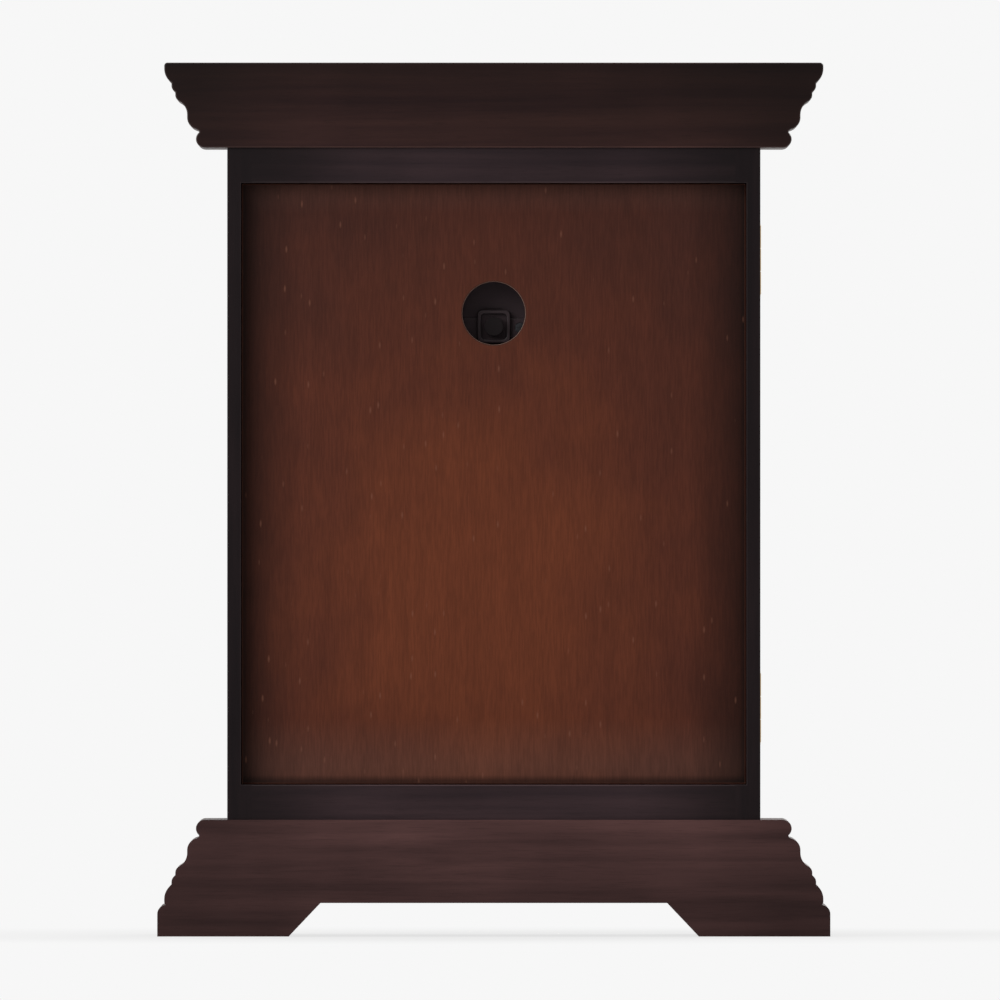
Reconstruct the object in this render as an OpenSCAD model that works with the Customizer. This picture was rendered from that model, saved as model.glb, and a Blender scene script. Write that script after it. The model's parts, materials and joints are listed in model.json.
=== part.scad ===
// Pendulum mantel clock: a stained hardwood case with a crown and a bracket-foot base, a glazed
// front door, a round dial, a battery movement set from behind, and a short brass pendulum.
// The front faces -Y, the back faces +Y, and the origin is on the floor at the middle of the base.

/* [Case] */
// Width over the outer faces of the two side boards
case_w = 215; // [210:1:240]
// Height of the case between the base and the crown
case_h = 271; // [268:1:300]
// Depth of the side boards from front to back
case_d = 78; // [76:1:96]
// Thickness of the side boards
side_t = 10; // [9:0.5:12]
// Thickness of the boards that close the case at its top and bottom
board_t = 18; // [16:0.5:19]
// Width of the side boards' edge that shows round the back panel
side_lip = 5.6; // [4.5:0.1:7]
// Width of the top and bottom boards' edge that shows round the back panel
rail_lip = 14.2; // [12:0.1:15]
// Thickness of the plywood back panel
back_t = 4; // [3:0.5:5]
// How far the back panel is set in from the back edge of the case
back_recess = 9; // [6:0.5:10]
// Diameter of the hole in the back panel that a finger reaches the setting knob through
access_d = 25.4; // [22:0.2:28]
// Height of that hole's centre above the setting knob's axis
access_up = 5.3; // [3:0.1:7]

/* [Moulding profile] */
// Radius of the bead at the narrow end of the moulding
bead_r = 3.5; // [3:0.1:4]
// How far the bead stands out from the case
bead_out = 12.6; // [11.6:0.1:13.4]
// Radius of the round lower half of the ogee
ogee_r = 4.8; // [4.2:0.1:5.4]
// Radius of the hollow upper half of the ogee
cove_r = 6.1; // [5.4:0.1:6.8]
// Radius of the two reeds between the ogee and the ovolo
reed_r = 2.9; // [2.5:0.1:3.2]
// Radius of the ovolo at the wide end of the moulding
ovolo_r = 7.1; // [6.6:0.1:7.8]
// How far the mouldings lap in over the top and bottom of the case
moulding_lap = 10; // [8:0.5:14]

/* [Crown and base] */
// Thickness of the flat boards that close the crown and the base at the back
end_board_t = 12; // [10:0.5:15]
// How far those boards stand behind the back edge of the case
end_board_proud = 1.5; // [1:0.1:3]
// Thickness of the panels let into the top of the crown and the top of the base
infill_t = 8; // [6:0.5:10]
// Width of the rebate that those panels rest on
infill_rebate = 5; // [4:0.5:7]
// Height of the plinth under the base moulding
plinth_h = 12.7; // [11:0.1:16]
// How far the plinth stands out from the case
plinth_out = 28.2; // [27.5:0.1:30]
// Thickness of the plinth's wall
plinth_wall = 14; // [11:0.5:17]
// Radius along the top edge of the plinth
plinth_r = 3.6; // [3.2:0.1:4.5]
// Height of the bracket cut-outs between the feet
arch_h = 13.5; // [12:0.1:16]
// How far the ends of those cut-outs lean in from the floor up
arch_lean = 12.8; // [8:0.2:16]
// Length of each foot along the front and the back, at the floor
foot_l = 53; // [45:1:60]
// Length of each foot along the sides, at the floor
side_foot_l = 38; // [34:1:42]
// Leg of the triangular glue blocks inside the corners of the base
glue_block = 16; // [12:1:20]

/* [Door] */
// Thickness of the door frame
door_t = 15; // [14:0.5:18]
// Width of the door's upright stiles
stile_w = 20; // [18:0.5:24]
// Width of the door's top and bottom rails
rail_w = 18; // [17:0.5:20]
// Gap between the door and the front edge of the case
door_gap = 1; // [0.9:0.1:1.4]
// Gap above and below the door
door_clear = 0.8; // [0.6:0.1:1.5]
// Width and depth of the bevel round the inside of the door frame
bevel = 3.5; // [2:0.5:4]
// Width of the rebate that the glass lies in
glass_rebate = 5; // [4:0.5:6]
// Thickness of the front lip that holds the glass
glass_lip = 5; // [4.5:0.5:6]
// Thickness of the glass
glass_t = 2; // [1.5:0.5:3]
// Length of the tenons on the rails
tenon_l = 9; // [6:1:12]
// Thickness of the tenons
tenon_t = 4; // [3:0.5:4.5]
// Diameter of the door knob
knob_d = 11; // [9:0.5:14]
// How far the door knob stands out from the door
knob_out = 15; // [13:0.5:20]

/* [Hinges and catch] */
// Height of each hinge
hinge_h = 28; // [22:1:36]
// Distance from the ends of the door to the hinges
hinge_inset = 30; // [24:1:45]
// Thickness of the hinge leaves
leaf_t = 1; // [0.8:0.1:1.2]
// Width of the hinge leaves
leaf_w = 7; // [6.5:0.5:7.5]
// How far the hinge axis is let in from the side of the case
hinge_let = 1.3; // [1.1:0.1:1.5]
// Diameter of the hinge knuckles
knuckle_d = 4; // [3.6:0.2:4.4]
// Diameter of the hinge pins
hinge_pin_d = 2; // [1.6:0.1:2.2]
// Diameter of the catch magnet
magnet_d = 6; // [5:0.5:7]
// Depth of the catch magnet
magnet_l = 4; // [3:0.5:8]

/* [Dial] */
// Thickness of the board that carries the dial
dial_board_t = 6; // [5:0.5:8]
// How far that board is set back from the front edge of the case
dial_setback = 16; // [15:0.5:18]
// Outer diameter of the bezel
bezel_d = 120; // [112:1:124]
// Width of the bezel's ring
bezel_w = 7; // [5:0.5:9]
// Height of the bezel above the board
bezel_h = 5; // [4:0.5:5.5]
// Thickness of the dial plate
dial_t = 1; // [0.8:0.1:1.5]
// Length of the minute hand from the centre
minute_l = 45; // [36:1:47]
// Length of the hour hand from the centre
hour_l = 32; // [24:1:34]
// Thickness of the hands
hand_t = 0.6; // [0.4:0.1:0.8]
// Width of the window that shows the pendulum
window_w = 132; // [110:1:150]
// Height of the dial board between the bezel and that window
window_rail = 18.6; // [12:0.2:30]
// Radius in the corners of the window
window_r = 8; // [4:1:14]
// Width and depth of the bevel round the window
window_bevel = 2; // [1:0.5:3]
// Width and thickness of the cleats behind the dial board
cleat_w = 10; // [8:0.5:12]

/* [Movement] */
// Height of the movement's housing above the hands' axis
mv_up = 28; // [26:1:34]
// Depth of the housing
mv_d = 30; // [29:1:34]
// Wall of the housing
mv_wall = 1.8; // [1.5:0.1:2.2]
// Diameter of the threaded neck that the hands come out of
neck_d = 7.9; // [7.5:0.1:8.5]
// Outer diameter of the hour hand's pipe
pipe_d = 5; // [4.6:0.1:5.4]
// Diameter of the minute hand's shaft
shaft_d = 2.8; // [2.5:0.1:3]
// Module of the wheels behind the hands
gear_m = 0.3133; // [0.3:0.0001:0.33]
// Diameter of the setting knob
set_knob_d = 8; // [7:0.1:8.8]
// How far the setting knob stands out behind the housing
set_knob_l = 6; // [4:0.5:8]
// Diameter of the setting knob's shaft
set_shaft_d = 2; // [1.8:0.1:2.2]
// Diameter of the battery
battery_d = 14.3; // [13.8:0.1:14.5]
// Length of the battery
battery_l = 49.2; // [48.5:0.1:50]
// Distance from the hands' axis down to the middle of the battery
battery_down = 22.6; // [21:0.2:28]
// Clear width between each end of the battery bay and the housing's wall
bay_side = 1.8; // [0.6:0.2:6]

/* [Pendulum] */
// Distance from the housing down to the peg that the rod hangs on
hang_out = 6; // [5:0.5:12]
// Height of the bob's middle above the window's sill
bob_up = 32.6; // [28:0.2:40]
// Diameter of the bob
bob_d = 40; // [32:1:46]
// Thickness of the bob
bob_t = 6; // [5:0.5:8]
// Width of the pendulum rod
rod_w = 4; // [3:0.5:5]
// Thickness of the pendulum rod
rod_t = 1; // [0.8:0.1:1.4]
// Diameter of the pivot pin
pivot_d = 2; // [1.8:0.1:2.4]

/* [Hidden] */
$fn = 48;

// Small gaps between pieces
fit_gap = 0.2;      // panels in their rebates and tenons in their mortises
push_gap = 0.02;    // a shaft pushed into its hole, on the radius
turn_gap = 0.06;    // a shaft that turns in its hole, on the radius
end_gap = 0.3;      // faces that pass each other
over = 1;           // how far a cutter runs past the faces it cuts

// The moulding's section, as distance out from the case (u) against height from its bead end (v)
arc_step = 7.5;     // turn from one flat to the next on the round stretches
bead_open = 50;     // angle on the bead where the groove beside it begins
groove_w = 1.2;     // width of that groove
ogee_start = -78;   // angle at which the round half of the ogee begins
ogee_flat = 1.2;    // straight stretch in the middle of the ogee
cove_end = 118;     // angle at which the hollow meets the first reed
reed_start = -62;   // angle at which each reed begins
reed_flat = 1.15;   // straight stretch at the end of each reed
ovolo_start = -54;  // angle at which the ovolo begins
rim_h = 2.4;        // height of the edge above the ovolo's centre
arris_r = 1.3;      // rounding of the moulding's last corner

function polar(r, a) = r * [cos(a), sin(a)];
function arc(c, r, a, b) = let (n = max(2, ceil(abs(b - a) / arc_step)))
    [for (i = [0 : n]) c + polar(r, a + (b - a) * i / n)];

bead_c = [bead_out - bead_r, bead_r];
groove = bead_c + polar(bead_r, bead_open);
ogee_c = groove + [0, groove_w + ogee_r];
cove_c = ogee_c + [ogee_r + cove_r, ogee_flat];
reed1_c = cove_c + polar(cove_r, cove_end) - polar(reed_r, reed_start);
reed2_c = reed1_c + [reed_r, reed_flat] - polar(reed_r, reed_start);
ovolo_c = reed2_c + [reed_r, reed_flat] - polar(ovolo_r, ovolo_start);
moulding_out = ovolo_c[0] + ovolo_r;
moulding_h = ovolo_c[1] + rim_h;

moulding_edge = concat(
    arc(bead_c, bead_r, -90, bead_open),
    [groove + [0, groove_w / 2]],
    arc(ogee_c, ogee_r, ogee_start, 0),
    arc(cove_c, cove_r, 180, cove_end),
    arc(reed1_c, reed_r, reed_start + arc_step, 0),
    arc(reed2_c, reed_r, reed_start, 0),
    arc(ovolo_c, ovolo_r, ovolo_start, 0),
    arc([moulding_out, moulding_h] - [arris_r, arris_r], arris_r, 0, 90));

// The same edge upside down, with the plinth below it
base_h = moulding_h + plinth_h;
plinth_start = 80;  // angle at which the plinth's round top edge begins
base_edge = concat(
    [for (p = moulding_edge) [p[0], -p[1]]],
    arc([plinth_out, -moulding_h] - [plinth_r, plinth_r], plinth_r, plinth_start, 0),
    [[plinth_out, -base_h]]);

// Heights
case_z0 = base_h;
case_z1 = case_z0 + case_h;
total_h = case_z1 + moulding_h;
case_mid_z = case_z0 + case_h / 2;

// Depths, with the middle of the base at y = 0
back_y = (plinth_out + door_t + door_gap + case_d + end_board_proud) / 2;
case_back_y = back_y - end_board_proud;
case_front_y = case_back_y - case_d;
door_back_y = case_front_y - door_gap;
door_front_y = door_back_y - door_t;
end_board_y = back_y - end_board_t;
panel_y = case_back_y - back_recess;        // back face of the back panel
board_y = case_front_y + dial_setback;      // front face of the dial board
board_back_y = board_y + dial_board_t;

// Insides of the case
half_w = case_w / 2;
inner_w = half_w - side_t;
inner_z0 = case_z0 + board_t;
inner_z1 = case_z1 - board_t;

// Base section
base_ledge = 22;    // depth of the solid part of the base moulding that carries the deck
block_drop = 3;     // how far the glue blocks stop above the floor

// Plan of a mitred length, from outside the plinth to the inner edge of the moulding
mitre_out = half_w + plinth_out + over;
mitre_in = half_w - moulding_lap;
mitre_out_y = door_front_y - plinth_out - over;
mitre_in_y = door_front_y + moulding_lap;

// Door frame
door_z0 = case_z0 + door_clear;
door_z1 = case_z1 - door_clear;
opening_w = half_w - stile_w;               // half the width of the door's opening
opening_z0 = door_z0 + rail_w;
opening_z1 = door_z1 - rail_w;
glass_y = door_front_y + glass_lip;
glass_gap = 0.5;
glass_w = opening_w + glass_rebate - glass_gap;
glass_z0 = opening_z0 - glass_rebate + glass_gap;
glass_z1 = opening_z1 + glass_rebate - glass_gap;
glazing_t = 4;      // depth of the glazing beads
tenon_shoulder = 2;
tenon_mid_y = door_front_y + door_t / 2;
stud_d = 3;         // stud of the door knob
stud_l = 8;
foot_t = 1;         // thickness of the knob's foot
neck_angle = 63;    // angle on the knob's ball where its neck begins
strike_t = door_gap - end_gap;
strike_d = 8;

// Hinges: the axis is let into the front left edge, halfway across the door's gap, so that the
// knuckles barely stand out from the side, and the door's edge is bevelled to clear the case
hinge_x = -half_w + hinge_let;
hinge_relief = hinge_let + 0.9;
hinge_y = case_front_y - door_gap / 2;
knuckles = 3;
hinge_zs = [door_z0 + hinge_inset, door_z1 - hinge_inset - hinge_h];
pin_head_h = 1;
catch_x = half_w - side_t / 2;

// Dial, with the bezel a little inside the door's opening
bezel_margin = 2.6;
hands_z = opening_z1 - bezel_margin - bezel_d / 2;
bezel_round = 0.55; // outer rounding of the bezel, as a share of its width or height
bezel_lip_r = 1;    // rounding of the bezel's inner edge
bezel_lip = 2;      // how far that rounding's middle lies below the bezel's top
dial_seat = 2;      // how far the dial plate stops short of the bezel's outer edge
window_sill = 11;
window_z0 = inner_z0 + window_sill;
window_z1 = hands_z - bezel_d / 2 - window_rail;
cleat_short = 10;   // how far the cleats stop short of the top and bottom of the case
screw_d = 3;
screw_head_d = 6;
screw_head_h = 2;
screw_bite = 4;     // how far the screws go into the dial board
screw_inset = 25;   // distance of the screws from the top and bottom of the case
screw_zs = [inner_z0 + screw_inset, inner_z1 - screw_inset];

// Neck and hands, from the dial plate forward
washer_t = 0.8;
washer_w = 3.5;     // width of the washer's ring
nut_t = 2.5;
nut_wall = 2.3;
neck_tip = 0.5;     // how far the neck stands out of its nut
step_out = 2;       // how far each shaft stands out of the one round it
dial_y = board_y - dial_t;
nut_y = dial_y - washer_t - nut_t;
neck_y = nut_y - neck_tip;
pipe_y = neck_y - step_out;
shaft_y = pipe_y - 2 * step_out;
hour_in = 0.6;      // how far the hour hand's face lies behind the end of its pipe
minute_out = 1.2;   // how far the minute hand's face lies in front of that end
hour_y = pipe_y + hour_in;
minute_y = pipe_y - minute_out;
hour_boss = 8;
hour_hub = 7;
hour_stem = 1.1;    // half the width of the stem at its root
hour_lobe = 3;      // radius of the spade's lobes
minute_boss = 6;
minute_hub = 4.4;
minute_stem = 0.9;
minute_lobe = 2.1;
cap_d = 4.6;        // nut on the minute hand
cap_t = 0.6;        // thickness of its closed end
hour_rest = -55;    // hands at ten past ten, in degrees clockwise from twelve
minute_rest = 60;

// Movement, from the dial board back
gasket_t = 1;
gasket_w = 6;
mv_y = board_back_y + gasket_t;
mv_back = mv_y + mv_d;
front_shell = 18;                           // depth of the front shell
mv_split = mv_y + front_shell;
mv_r = 3;
plate_in = 8;                               // depth of the bearing plate in the housing
plate_y = mv_y + plate_in;
plate_t = 1.6;
plate_back = plate_y + plate_t;
neck_flange_d = 12;
neck_flange_t = 1;

// Battery bay, and the housing's width round it
bay_gap = 0.4;
bay_wall = 1.2;
contact_t = 0.6;
contact_w = 8;
nub_d = 5.4;        // raised contact on the end of the battery
nub_l = 1.2;
battery_in = 0.7;   // how far the battery lies below the back of the housing
battery_z = hands_z - battery_down;
battery_y = mv_back - battery_d / 2 - battery_in;
bay_x = battery_l / 2 + contact_t;
bay_y = battery_y - battery_d / 2 - fit_gap;
bay_z = battery_d / 2 + bay_gap;
mv_w = 2 * (bay_x + bay_wall + bay_side + mv_wall);

// Drive of the pendulum, and the housing's height round it
hub_d = 5.6;
hub_out = 1;        // how far the hub stands out on each side of the swing arm
hub_clear = 2;      // between the battery bay and the hub
drive_down = 9;     // distance from the pivot down to the magnet
drive_magnet_d = 6;
magnet_rim = 0.9;   // wall of the swing arm round the magnet
coil_d = 9;
coil_bore = 4;
coil_t = 2.2;
coil_clear = 2.5;   // between the coil and the bottom of the housing
pivot_z = battery_z - bay_z - bay_wall - hub_clear - hub_d / 2;
mv_z0 = pivot_z - drive_down - coil_d / 2 - coil_clear - mv_wall;
mv_z1 = hands_z + mv_up;

// Wheels behind the hands: 15 drives 45, and 12 drives 48, which makes twelve to one
cannon_n = 15;
minute_n = 45;
pinion_n = 12;
hour_n = 48;
wheel_t = 1.4;
wheel_gap = 0.45;
wheel_y1 = mv_y + mv_wall + wheel_gap;      // hour wheel and its pinion
wheel_y2 = wheel_y1 + wheel_t + wheel_gap;  // minute wheel and the cannon pinion
addendum = 0.75;
dedendum = 1.15;
backlash = 0.06;
pressure_angle = 20;
base_step = 0.02;   // the flanks begin this far outside the base circle
knob_z = hands_z + gear_m * (cannon_n + minute_n) / 2;
access_z = knob_z + access_up;

// Back of the housing
step_up = 3.4;      // the back is stepped this far above the setting knob's axis
step_z = knob_z + step_up;
step_in = 1.2;
rim_w = 13.2;       // square rim round the setting knob
rim_wall = 1.4;
rim_out = 2.5;
rim_r = 2;
rim_inner_r = 1.5;
latch_w = 6.5;
latch_up = 3.2;     // height of the latch's slot above the step
latch_slot = 0.8;
mv_screw_d = 2.2;
mv_head_d = 4;
mv_head_h = 1.4;
drive_slot = 0.6;   // width and depth of the slots in the screws' heads
post_d = 5.6;
post_in = 6;        // distance of the screw posts from the housing's edges
mid_post_x = -10.6;
mid_post_down = 0.5;
corner_posts = [for (x = [-1, 1], z = [mv_z0 + post_in, mv_z1 - post_in])
    [x * (mv_w / 2 - post_in), z]];
posts = concat(corner_posts, [[mid_post_x, knob_z - mid_post_down]]);
function housing_back(z) = z > step_z ? mv_back - step_in : mv_back;

// Setting knob
knob_ridges = 20;
ridge_h = 0.35;
collar_t = 1;       // plain collar under the ridges
collar_in = 0.7;    // how far the collar is smaller in radius

// Electric parts
pcb_w = 13;
pcb_h = 18;
pcb_t = 1;
pcb_side = 1;       // distance of the circuit board from the housing's wall
pcb_down = 12;      // distance of its lower edge from the hands' axis
bobbin = 6.5;
flange_t = 1;       // ends of the bobbin
motor_side = 6;     // distance of the bobbin from the housing's wall
motor_x = mv_w / 2 - mv_wall - motor_side - bobbin / 2;
motor_l = 15;
motor_down = 2;     // distance of the coil's lower end from the hands' axis
motor_z = hands_z - motor_down;
stator_t = 1;
stator_w = 7;
stator_l = 13;      // distance from the coil to the hole that the rotor turns in
rotor_d = 3.4;

// Pendulum
hang_z = mv_z0 - hang_out;
bob_z = window_z0 + bob_up;
arm_w = 5;
arm_t = 3;
drive_gap = 0.7;    // between the coil and the swing arm
arm_y = plate_back + coil_t + drive_gap;    // front of the swing arm
arm_toe = 3;        // how far the arm runs past the peg
pin_reach = 4;      // how far the pivot pin runs past the arm
swing_pin_y = arm_y + arm_t + pin_reach;
slot_w = 9.6;
peg_d = 2;
peg_head = 0.7;     // how far the peg's head is larger in radius
peg_head_t = 0.8;
rod_y = arm_y + arm_t + end_gap;
peg_y = rod_y + rod_t + end_gap;            // front of the peg's head
eye_d = 6.4;
bob_front = rod_y + rod_t / 2 - bob_t / 2;
bob_bead = 0.8;     // radius of the bead round the bob's face
bob_chamfer = 2;    // chamfer round the bob's back

// A bar or a disc along the Y axis, from one depth to another
module bar_y(d, y0, y1) translate([0, y1, 0]) rotate([90, 0, 0]) cylinder(d = d, h = y1 - y0);

// A flat piece drawn in X and Z, from one depth to another
module flat_y(y0, y1) translate([0, y1, 0]) rotate([90, 0, 0]) linear_extrude(y1 - y0) children();

// A piece turned about the Y axis, drawn as distance from the axis against depth
module turned_y() rotate([-90, 0, 0]) rotate_extrude() children();

// A block given by its lowest and highest corners
module block(low, high) translate(low) cube(high - low);

module both_sides() {
    children();
    mirror([1, 0, 0]) children();
}

module rounded_rect(x0, z0, x1, z1, r) {
    translate([x0 + r, z0]) square([x1 - x0 - 2 * r, z1 - z0]);
    translate([x0, z0 + r]) square([x1 - x0, z1 - z0 - 2 * r]);
    for (x = [x0 + r, x1 - r], z = [z0 + r, z1 - r]) translate([x, z]) circle(r);
}

// Case boards
module back_rabbet(gap) {
    w = half_w - side_lip - gap;
    block([-w, panel_y - back_t, case_z0 + rail_lip + gap],
        [w, case_back_y + over, case_z1 - rail_lip - gap]);
}

module side_board() difference() {
    block([inner_w, case_front_y, case_z0], [half_w, case_back_y, case_z1]);
    back_rabbet(0);
}

module end_board(z0) difference() {
    block([-inner_w, case_front_y, z0], [inner_w, case_back_y, z0 + board_t]);
    back_rabbet(0);
}

module left_side() color("#2b201f") difference() {
    mirror([1, 0, 0]) side_board();
    hinge_gains();
}

module right_side() color("#2b201f") difference() {
    side_board();
    catch_bore();
}

module case_top() color("#2d2323") end_board(inner_z1);

module case_bottom() color("#312a2b") end_board(case_z0);

module back_panel() color("#5f3121") difference() {
    intersection() {
        back_rabbet(fit_gap);
        block([-half_w, panel_y - back_t, case_z0], [half_w, panel_y, case_z1]);
    }
    translate([0, 0, access_z]) bar_y(access_d, panel_y - back_t - over, panel_y + over);
}

// Crown and base mouldings
module crown_section() polygon(concat(
    [[-moulding_lap, 0]],
    moulding_edge,
    [[infill_rebate - moulding_lap, moulding_h],
     [infill_rebate - moulding_lap, moulding_h - infill_t],
     [-moulding_lap, moulding_h - infill_t]]));

module base_section() polygon(concat(
    [[infill_rebate - moulding_lap, 0]],
    base_edge,
    [[plinth_out - plinth_wall, -base_h],
     [plinth_out - plinth_wall, -base_ledge],
     [-moulding_lap, -base_ledge],
     [-moulding_lap, -infill_t],
     [infill_rebate - moulding_lap, -infill_t]]));

module standing(plan) translate([0, 0, -over]) linear_extrude(total_h + 2 * over) polygon(plan);

module front_run(z) intersection() {
    translate([-mitre_out, door_front_y, z]) mirror([0, 1, 0]) rotate([90, 0, 90])
        linear_extrude(2 * mitre_out) children();
    standing([[-mitre_out, mitre_out_y], [mitre_out, mitre_out_y],
        [mitre_in, mitre_in_y], [-mitre_in, mitre_in_y]]);
}

module side_run(z) intersection() {
    translate([half_w, end_board_y, z]) rotate([90, 0, 0])
        linear_extrude(end_board_y - mitre_out_y) children();
    standing([[mitre_in, mitre_in_y], [mitre_out, mitre_out_y],
        [mitre_out, end_board_y], [mitre_in, end_board_y]]);
}

// A flat board whose ends are cut to the moulding's edge
module profile_board(z, edge) translate([0, 0, z]) flat_y(end_board_y, back_y) polygon(concat(
    [for (p = edge) [half_w + p[0], p[1]]],
    [for (i = [len(edge) - 1 : -1 : 0]) [-half_w - edge[i][0], edge[i][1]]]));

module front_arch(y0, y1) {
    floor_w = half_w + plinth_out - foot_l;
    flat_y(y0, y1) polygon([[-floor_w - arch_lean / arch_h * over, -over],
        [floor_w + arch_lean / arch_h * over, -over],
        [floor_w - arch_lean, arch_h], [arch_lean - floor_w, arch_h]]);
}

module side_arch() {
    low = door_front_y - plinth_out + side_foot_l;
    high = back_y - side_foot_l;
    slip = arch_lean / arch_h * over;
    translate([half_w, 0, 0]) rotate([90, 0, 90]) linear_extrude(plinth_out + over)
        polygon([[low - slip, -over], [high + slip, -over],
            [high - arch_lean, arch_h], [low + arch_lean, arch_h]]);
}

module crown_front() color("#2c1f1f") front_run(case_z1) crown_section();

module crown_right() color("#2c1f1f") side_run(case_z1) crown_section();

module crown_left() color("#2c1f1f") mirror([1, 0, 0]) side_run(case_z1) crown_section();

module crown_back() color("#2a1e1e") profile_board(case_z1, moulding_edge);

module infill(z) {
    w = mitre_in + infill_rebate - fit_gap;
    block([-w, mitre_in_y - infill_rebate + fit_gap, z], [w, end_board_y, z + infill_t]);
}

module crown_panel() color("#2c1f1f") infill(total_h - infill_t);

module base_front() color("#402e2d") difference() {
    front_run(case_z0) base_section();
    front_arch(mitre_out_y, door_front_y);
}

module base_right() color("#402e2d") difference() {
    side_run(case_z0) base_section();
    side_arch();
}

module base_left() color("#402e2d") mirror([1, 0, 0]) difference() {
    side_run(case_z0) base_section();
    side_arch();
}

module base_back() color("#402e2d") difference() {
    profile_board(case_z0, base_edge);
    front_arch(end_board_y - over, back_y + over);
}

module base_deck() color("#4a3a34") infill(case_z0 - infill_t);

module corner_block(x, y, dy) translate([x, y, block_drop])
    linear_extrude(base_h - base_ledge - block_drop)
        polygon([[0, 0], [-glue_block, 0], [0, dy * glue_block]]);

module base_glue_blocks() color("#8a6a48") both_sides() {
    corner_block(half_w + plinth_out - plinth_wall,
        door_front_y - plinth_out + plinth_wall, 1);
    corner_block(half_w + plinth_out - plinth_wall, end_board_y, -1);
}

// Door
module door_opening() {
    intersection() {
        translate([0, 0, opening_z0 - stile_w]) linear_extrude(opening_z1 - opening_z0 + 2 * stile_w)
            polygon([[-opening_w - bevel - over, door_front_y - over],
                [opening_w + bevel + over, door_front_y - over],
                [opening_w, door_front_y + bevel], [opening_w, door_back_y + over],
                [-opening_w, door_back_y + over], [-opening_w, door_front_y + bevel]]);
        translate([-half_w, 0, 0]) rotate([90, 0, 90]) linear_extrude(case_w)
            polygon([[door_front_y - over, opening_z0 - bevel - over],
                [door_front_y + bevel, opening_z0], [door_back_y + over, opening_z0],
                [door_back_y + over, opening_z1], [door_front_y + bevel, opening_z1],
                [door_front_y - over, opening_z1 + bevel + over]]);
    }
    block([-opening_w - glass_rebate, glass_y, opening_z0 - glass_rebate],
        [opening_w + glass_rebate, door_back_y + over, opening_z1 + glass_rebate]);
}

module rail_tenon(z0, gap) {
    low = z0 + (z0 < case_mid_z ? tenon_shoulder : glass_rebate + tenon_shoulder);
    block([opening_w - over, tenon_mid_y - tenon_t / 2 - gap, low - gap],
        [opening_w + tenon_l + gap, tenon_mid_y + tenon_t / 2 + gap,
         low + rail_w - glass_rebate - 2 * tenon_shoulder + gap]);
}

module door_rail(z0) {
    difference() {
        block([-opening_w, door_front_y, z0], [opening_w, door_back_y, z0 + rail_w]);
        door_opening();
    }
    both_sides() rail_tenon(z0, 0);
}

module door_stile() difference() {
    block([opening_w, door_front_y, door_z0], [half_w, door_back_y, door_z1]);
    door_opening();
    rail_tenon(door_z0, fit_gap);
    rail_tenon(opening_z1, fit_gap);
}

module door_hinge_stile() color("#33251f") difference() {
    mirror([1, 0, 0]) door_stile();
    hinge_gains();
    translate([0, 0, door_z0 - over]) linear_extrude(door_z1 - door_z0 + 2 * over)
        polygon([[-half_w - over, door_back_y - hinge_relief - over],
            [-half_w + hinge_relief + over, door_back_y + over], [-half_w - over, door_back_y + over]]);
}

module door_knob_stile() color("#33251f") difference() {
    door_stile();
    translate([half_w - stile_w / 2, 0, case_mid_z])
        bar_y(stud_d + 2 * push_gap, door_front_y - over, door_front_y + stud_l + end_gap);
}

module door_top_rail() color("#33251f") door_rail(opening_z1);

module door_bottom_rail() color("#33251f") door_rail(door_z0);

module door_glass() color("#cfe0df", 0.35)
    block([-glass_w, glass_y, glass_z0], [glass_w, glass_y + glass_t, glass_z1]);

// Quarter-round strip with its corner at the origin, along Z
module quarter_round(r, l) linear_extrude(l) intersection() {
    circle(r);
    square(r);
}

module glazing_beads() color("#33251f") translate([0, glass_y + glass_t, 0]) {
    edge = opening_w + glass_rebate;
    both_sides() translate([edge, 0, opening_z0 - glass_rebate])
        rotate([0, 0, 90]) quarter_round(glazing_t, opening_z1 - opening_z0 + 2 * glass_rebate);
    for (top = [0, 1]) translate([0, 0, top ? opening_z1 + glass_rebate : opening_z0 - glass_rebate])
        mirror([0, 0, top]) translate([glazing_t - edge + fit_gap, 0, 0]) rotate([0, 90, 0])
            rotate([0, 0, 90]) quarter_round(glazing_t, 2 * (edge - glazing_t - fit_gap));
}

module door_knob() color("#b08d46") translate([half_w - stile_w / 2, 0, case_mid_z]) {
    ball_y = door_front_y - knob_out + knob_d / 2;
    foot_r = knob_d * 0.45;
    turned_y() polygon(concat(
        [[0, door_front_y + stud_l], [stud_d / 2, door_front_y + stud_l],
         [stud_d / 2, door_front_y], [foot_r, door_front_y],
         [foot_r, door_front_y - foot_t], [knob_d / 4, door_front_y - 2 * foot_t]],
        arc([0, ball_y], knob_d / 2, neck_angle, -90)));
}

// Hinges and catch
module hinge_gains() for (z = hinge_zs) {
    block([hinge_x - over, door_back_y - leaf_t, z - fit_gap],
        [hinge_x + leaf_w + fit_gap, case_front_y + leaf_t, z + hinge_h + fit_gap]);
    translate([hinge_x, hinge_y, z - pin_head_h - fit_gap])
        cylinder(d = knuckle_d + 2 * end_gap, h = hinge_h + 2 * (pin_head_h + fit_gap));
}

// One side of a hinge: a leaf, and every other knuckle from the given one
module hinge_half(y0, first) for (z = hinge_zs) difference() {
    union() {
        block([hinge_x, y0, z], [hinge_x + leaf_w, y0 + leaf_t, z + hinge_h]);
        translate([hinge_x, hinge_y, z]) cylinder(d = knuckle_d, h = hinge_h);
    }
    translate([hinge_x, hinge_y, z - over])
        cylinder(d = hinge_pin_d + 2 * turn_gap, h = hinge_h + 2 * over);
    for (k = [1 - first : 2 : knuckles - 1]) {
        low = k == 0 ? -over : k * hinge_h / knuckles - fit_gap / 2;
        high = k == knuckles - 1 ? hinge_h + over : (k + 1) * hinge_h / knuckles + fit_gap / 2;
        translate([hinge_x, hinge_y, z + low])
            cylinder(d = knuckle_d + 2 * end_gap, h = high - low);
    }
}

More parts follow.
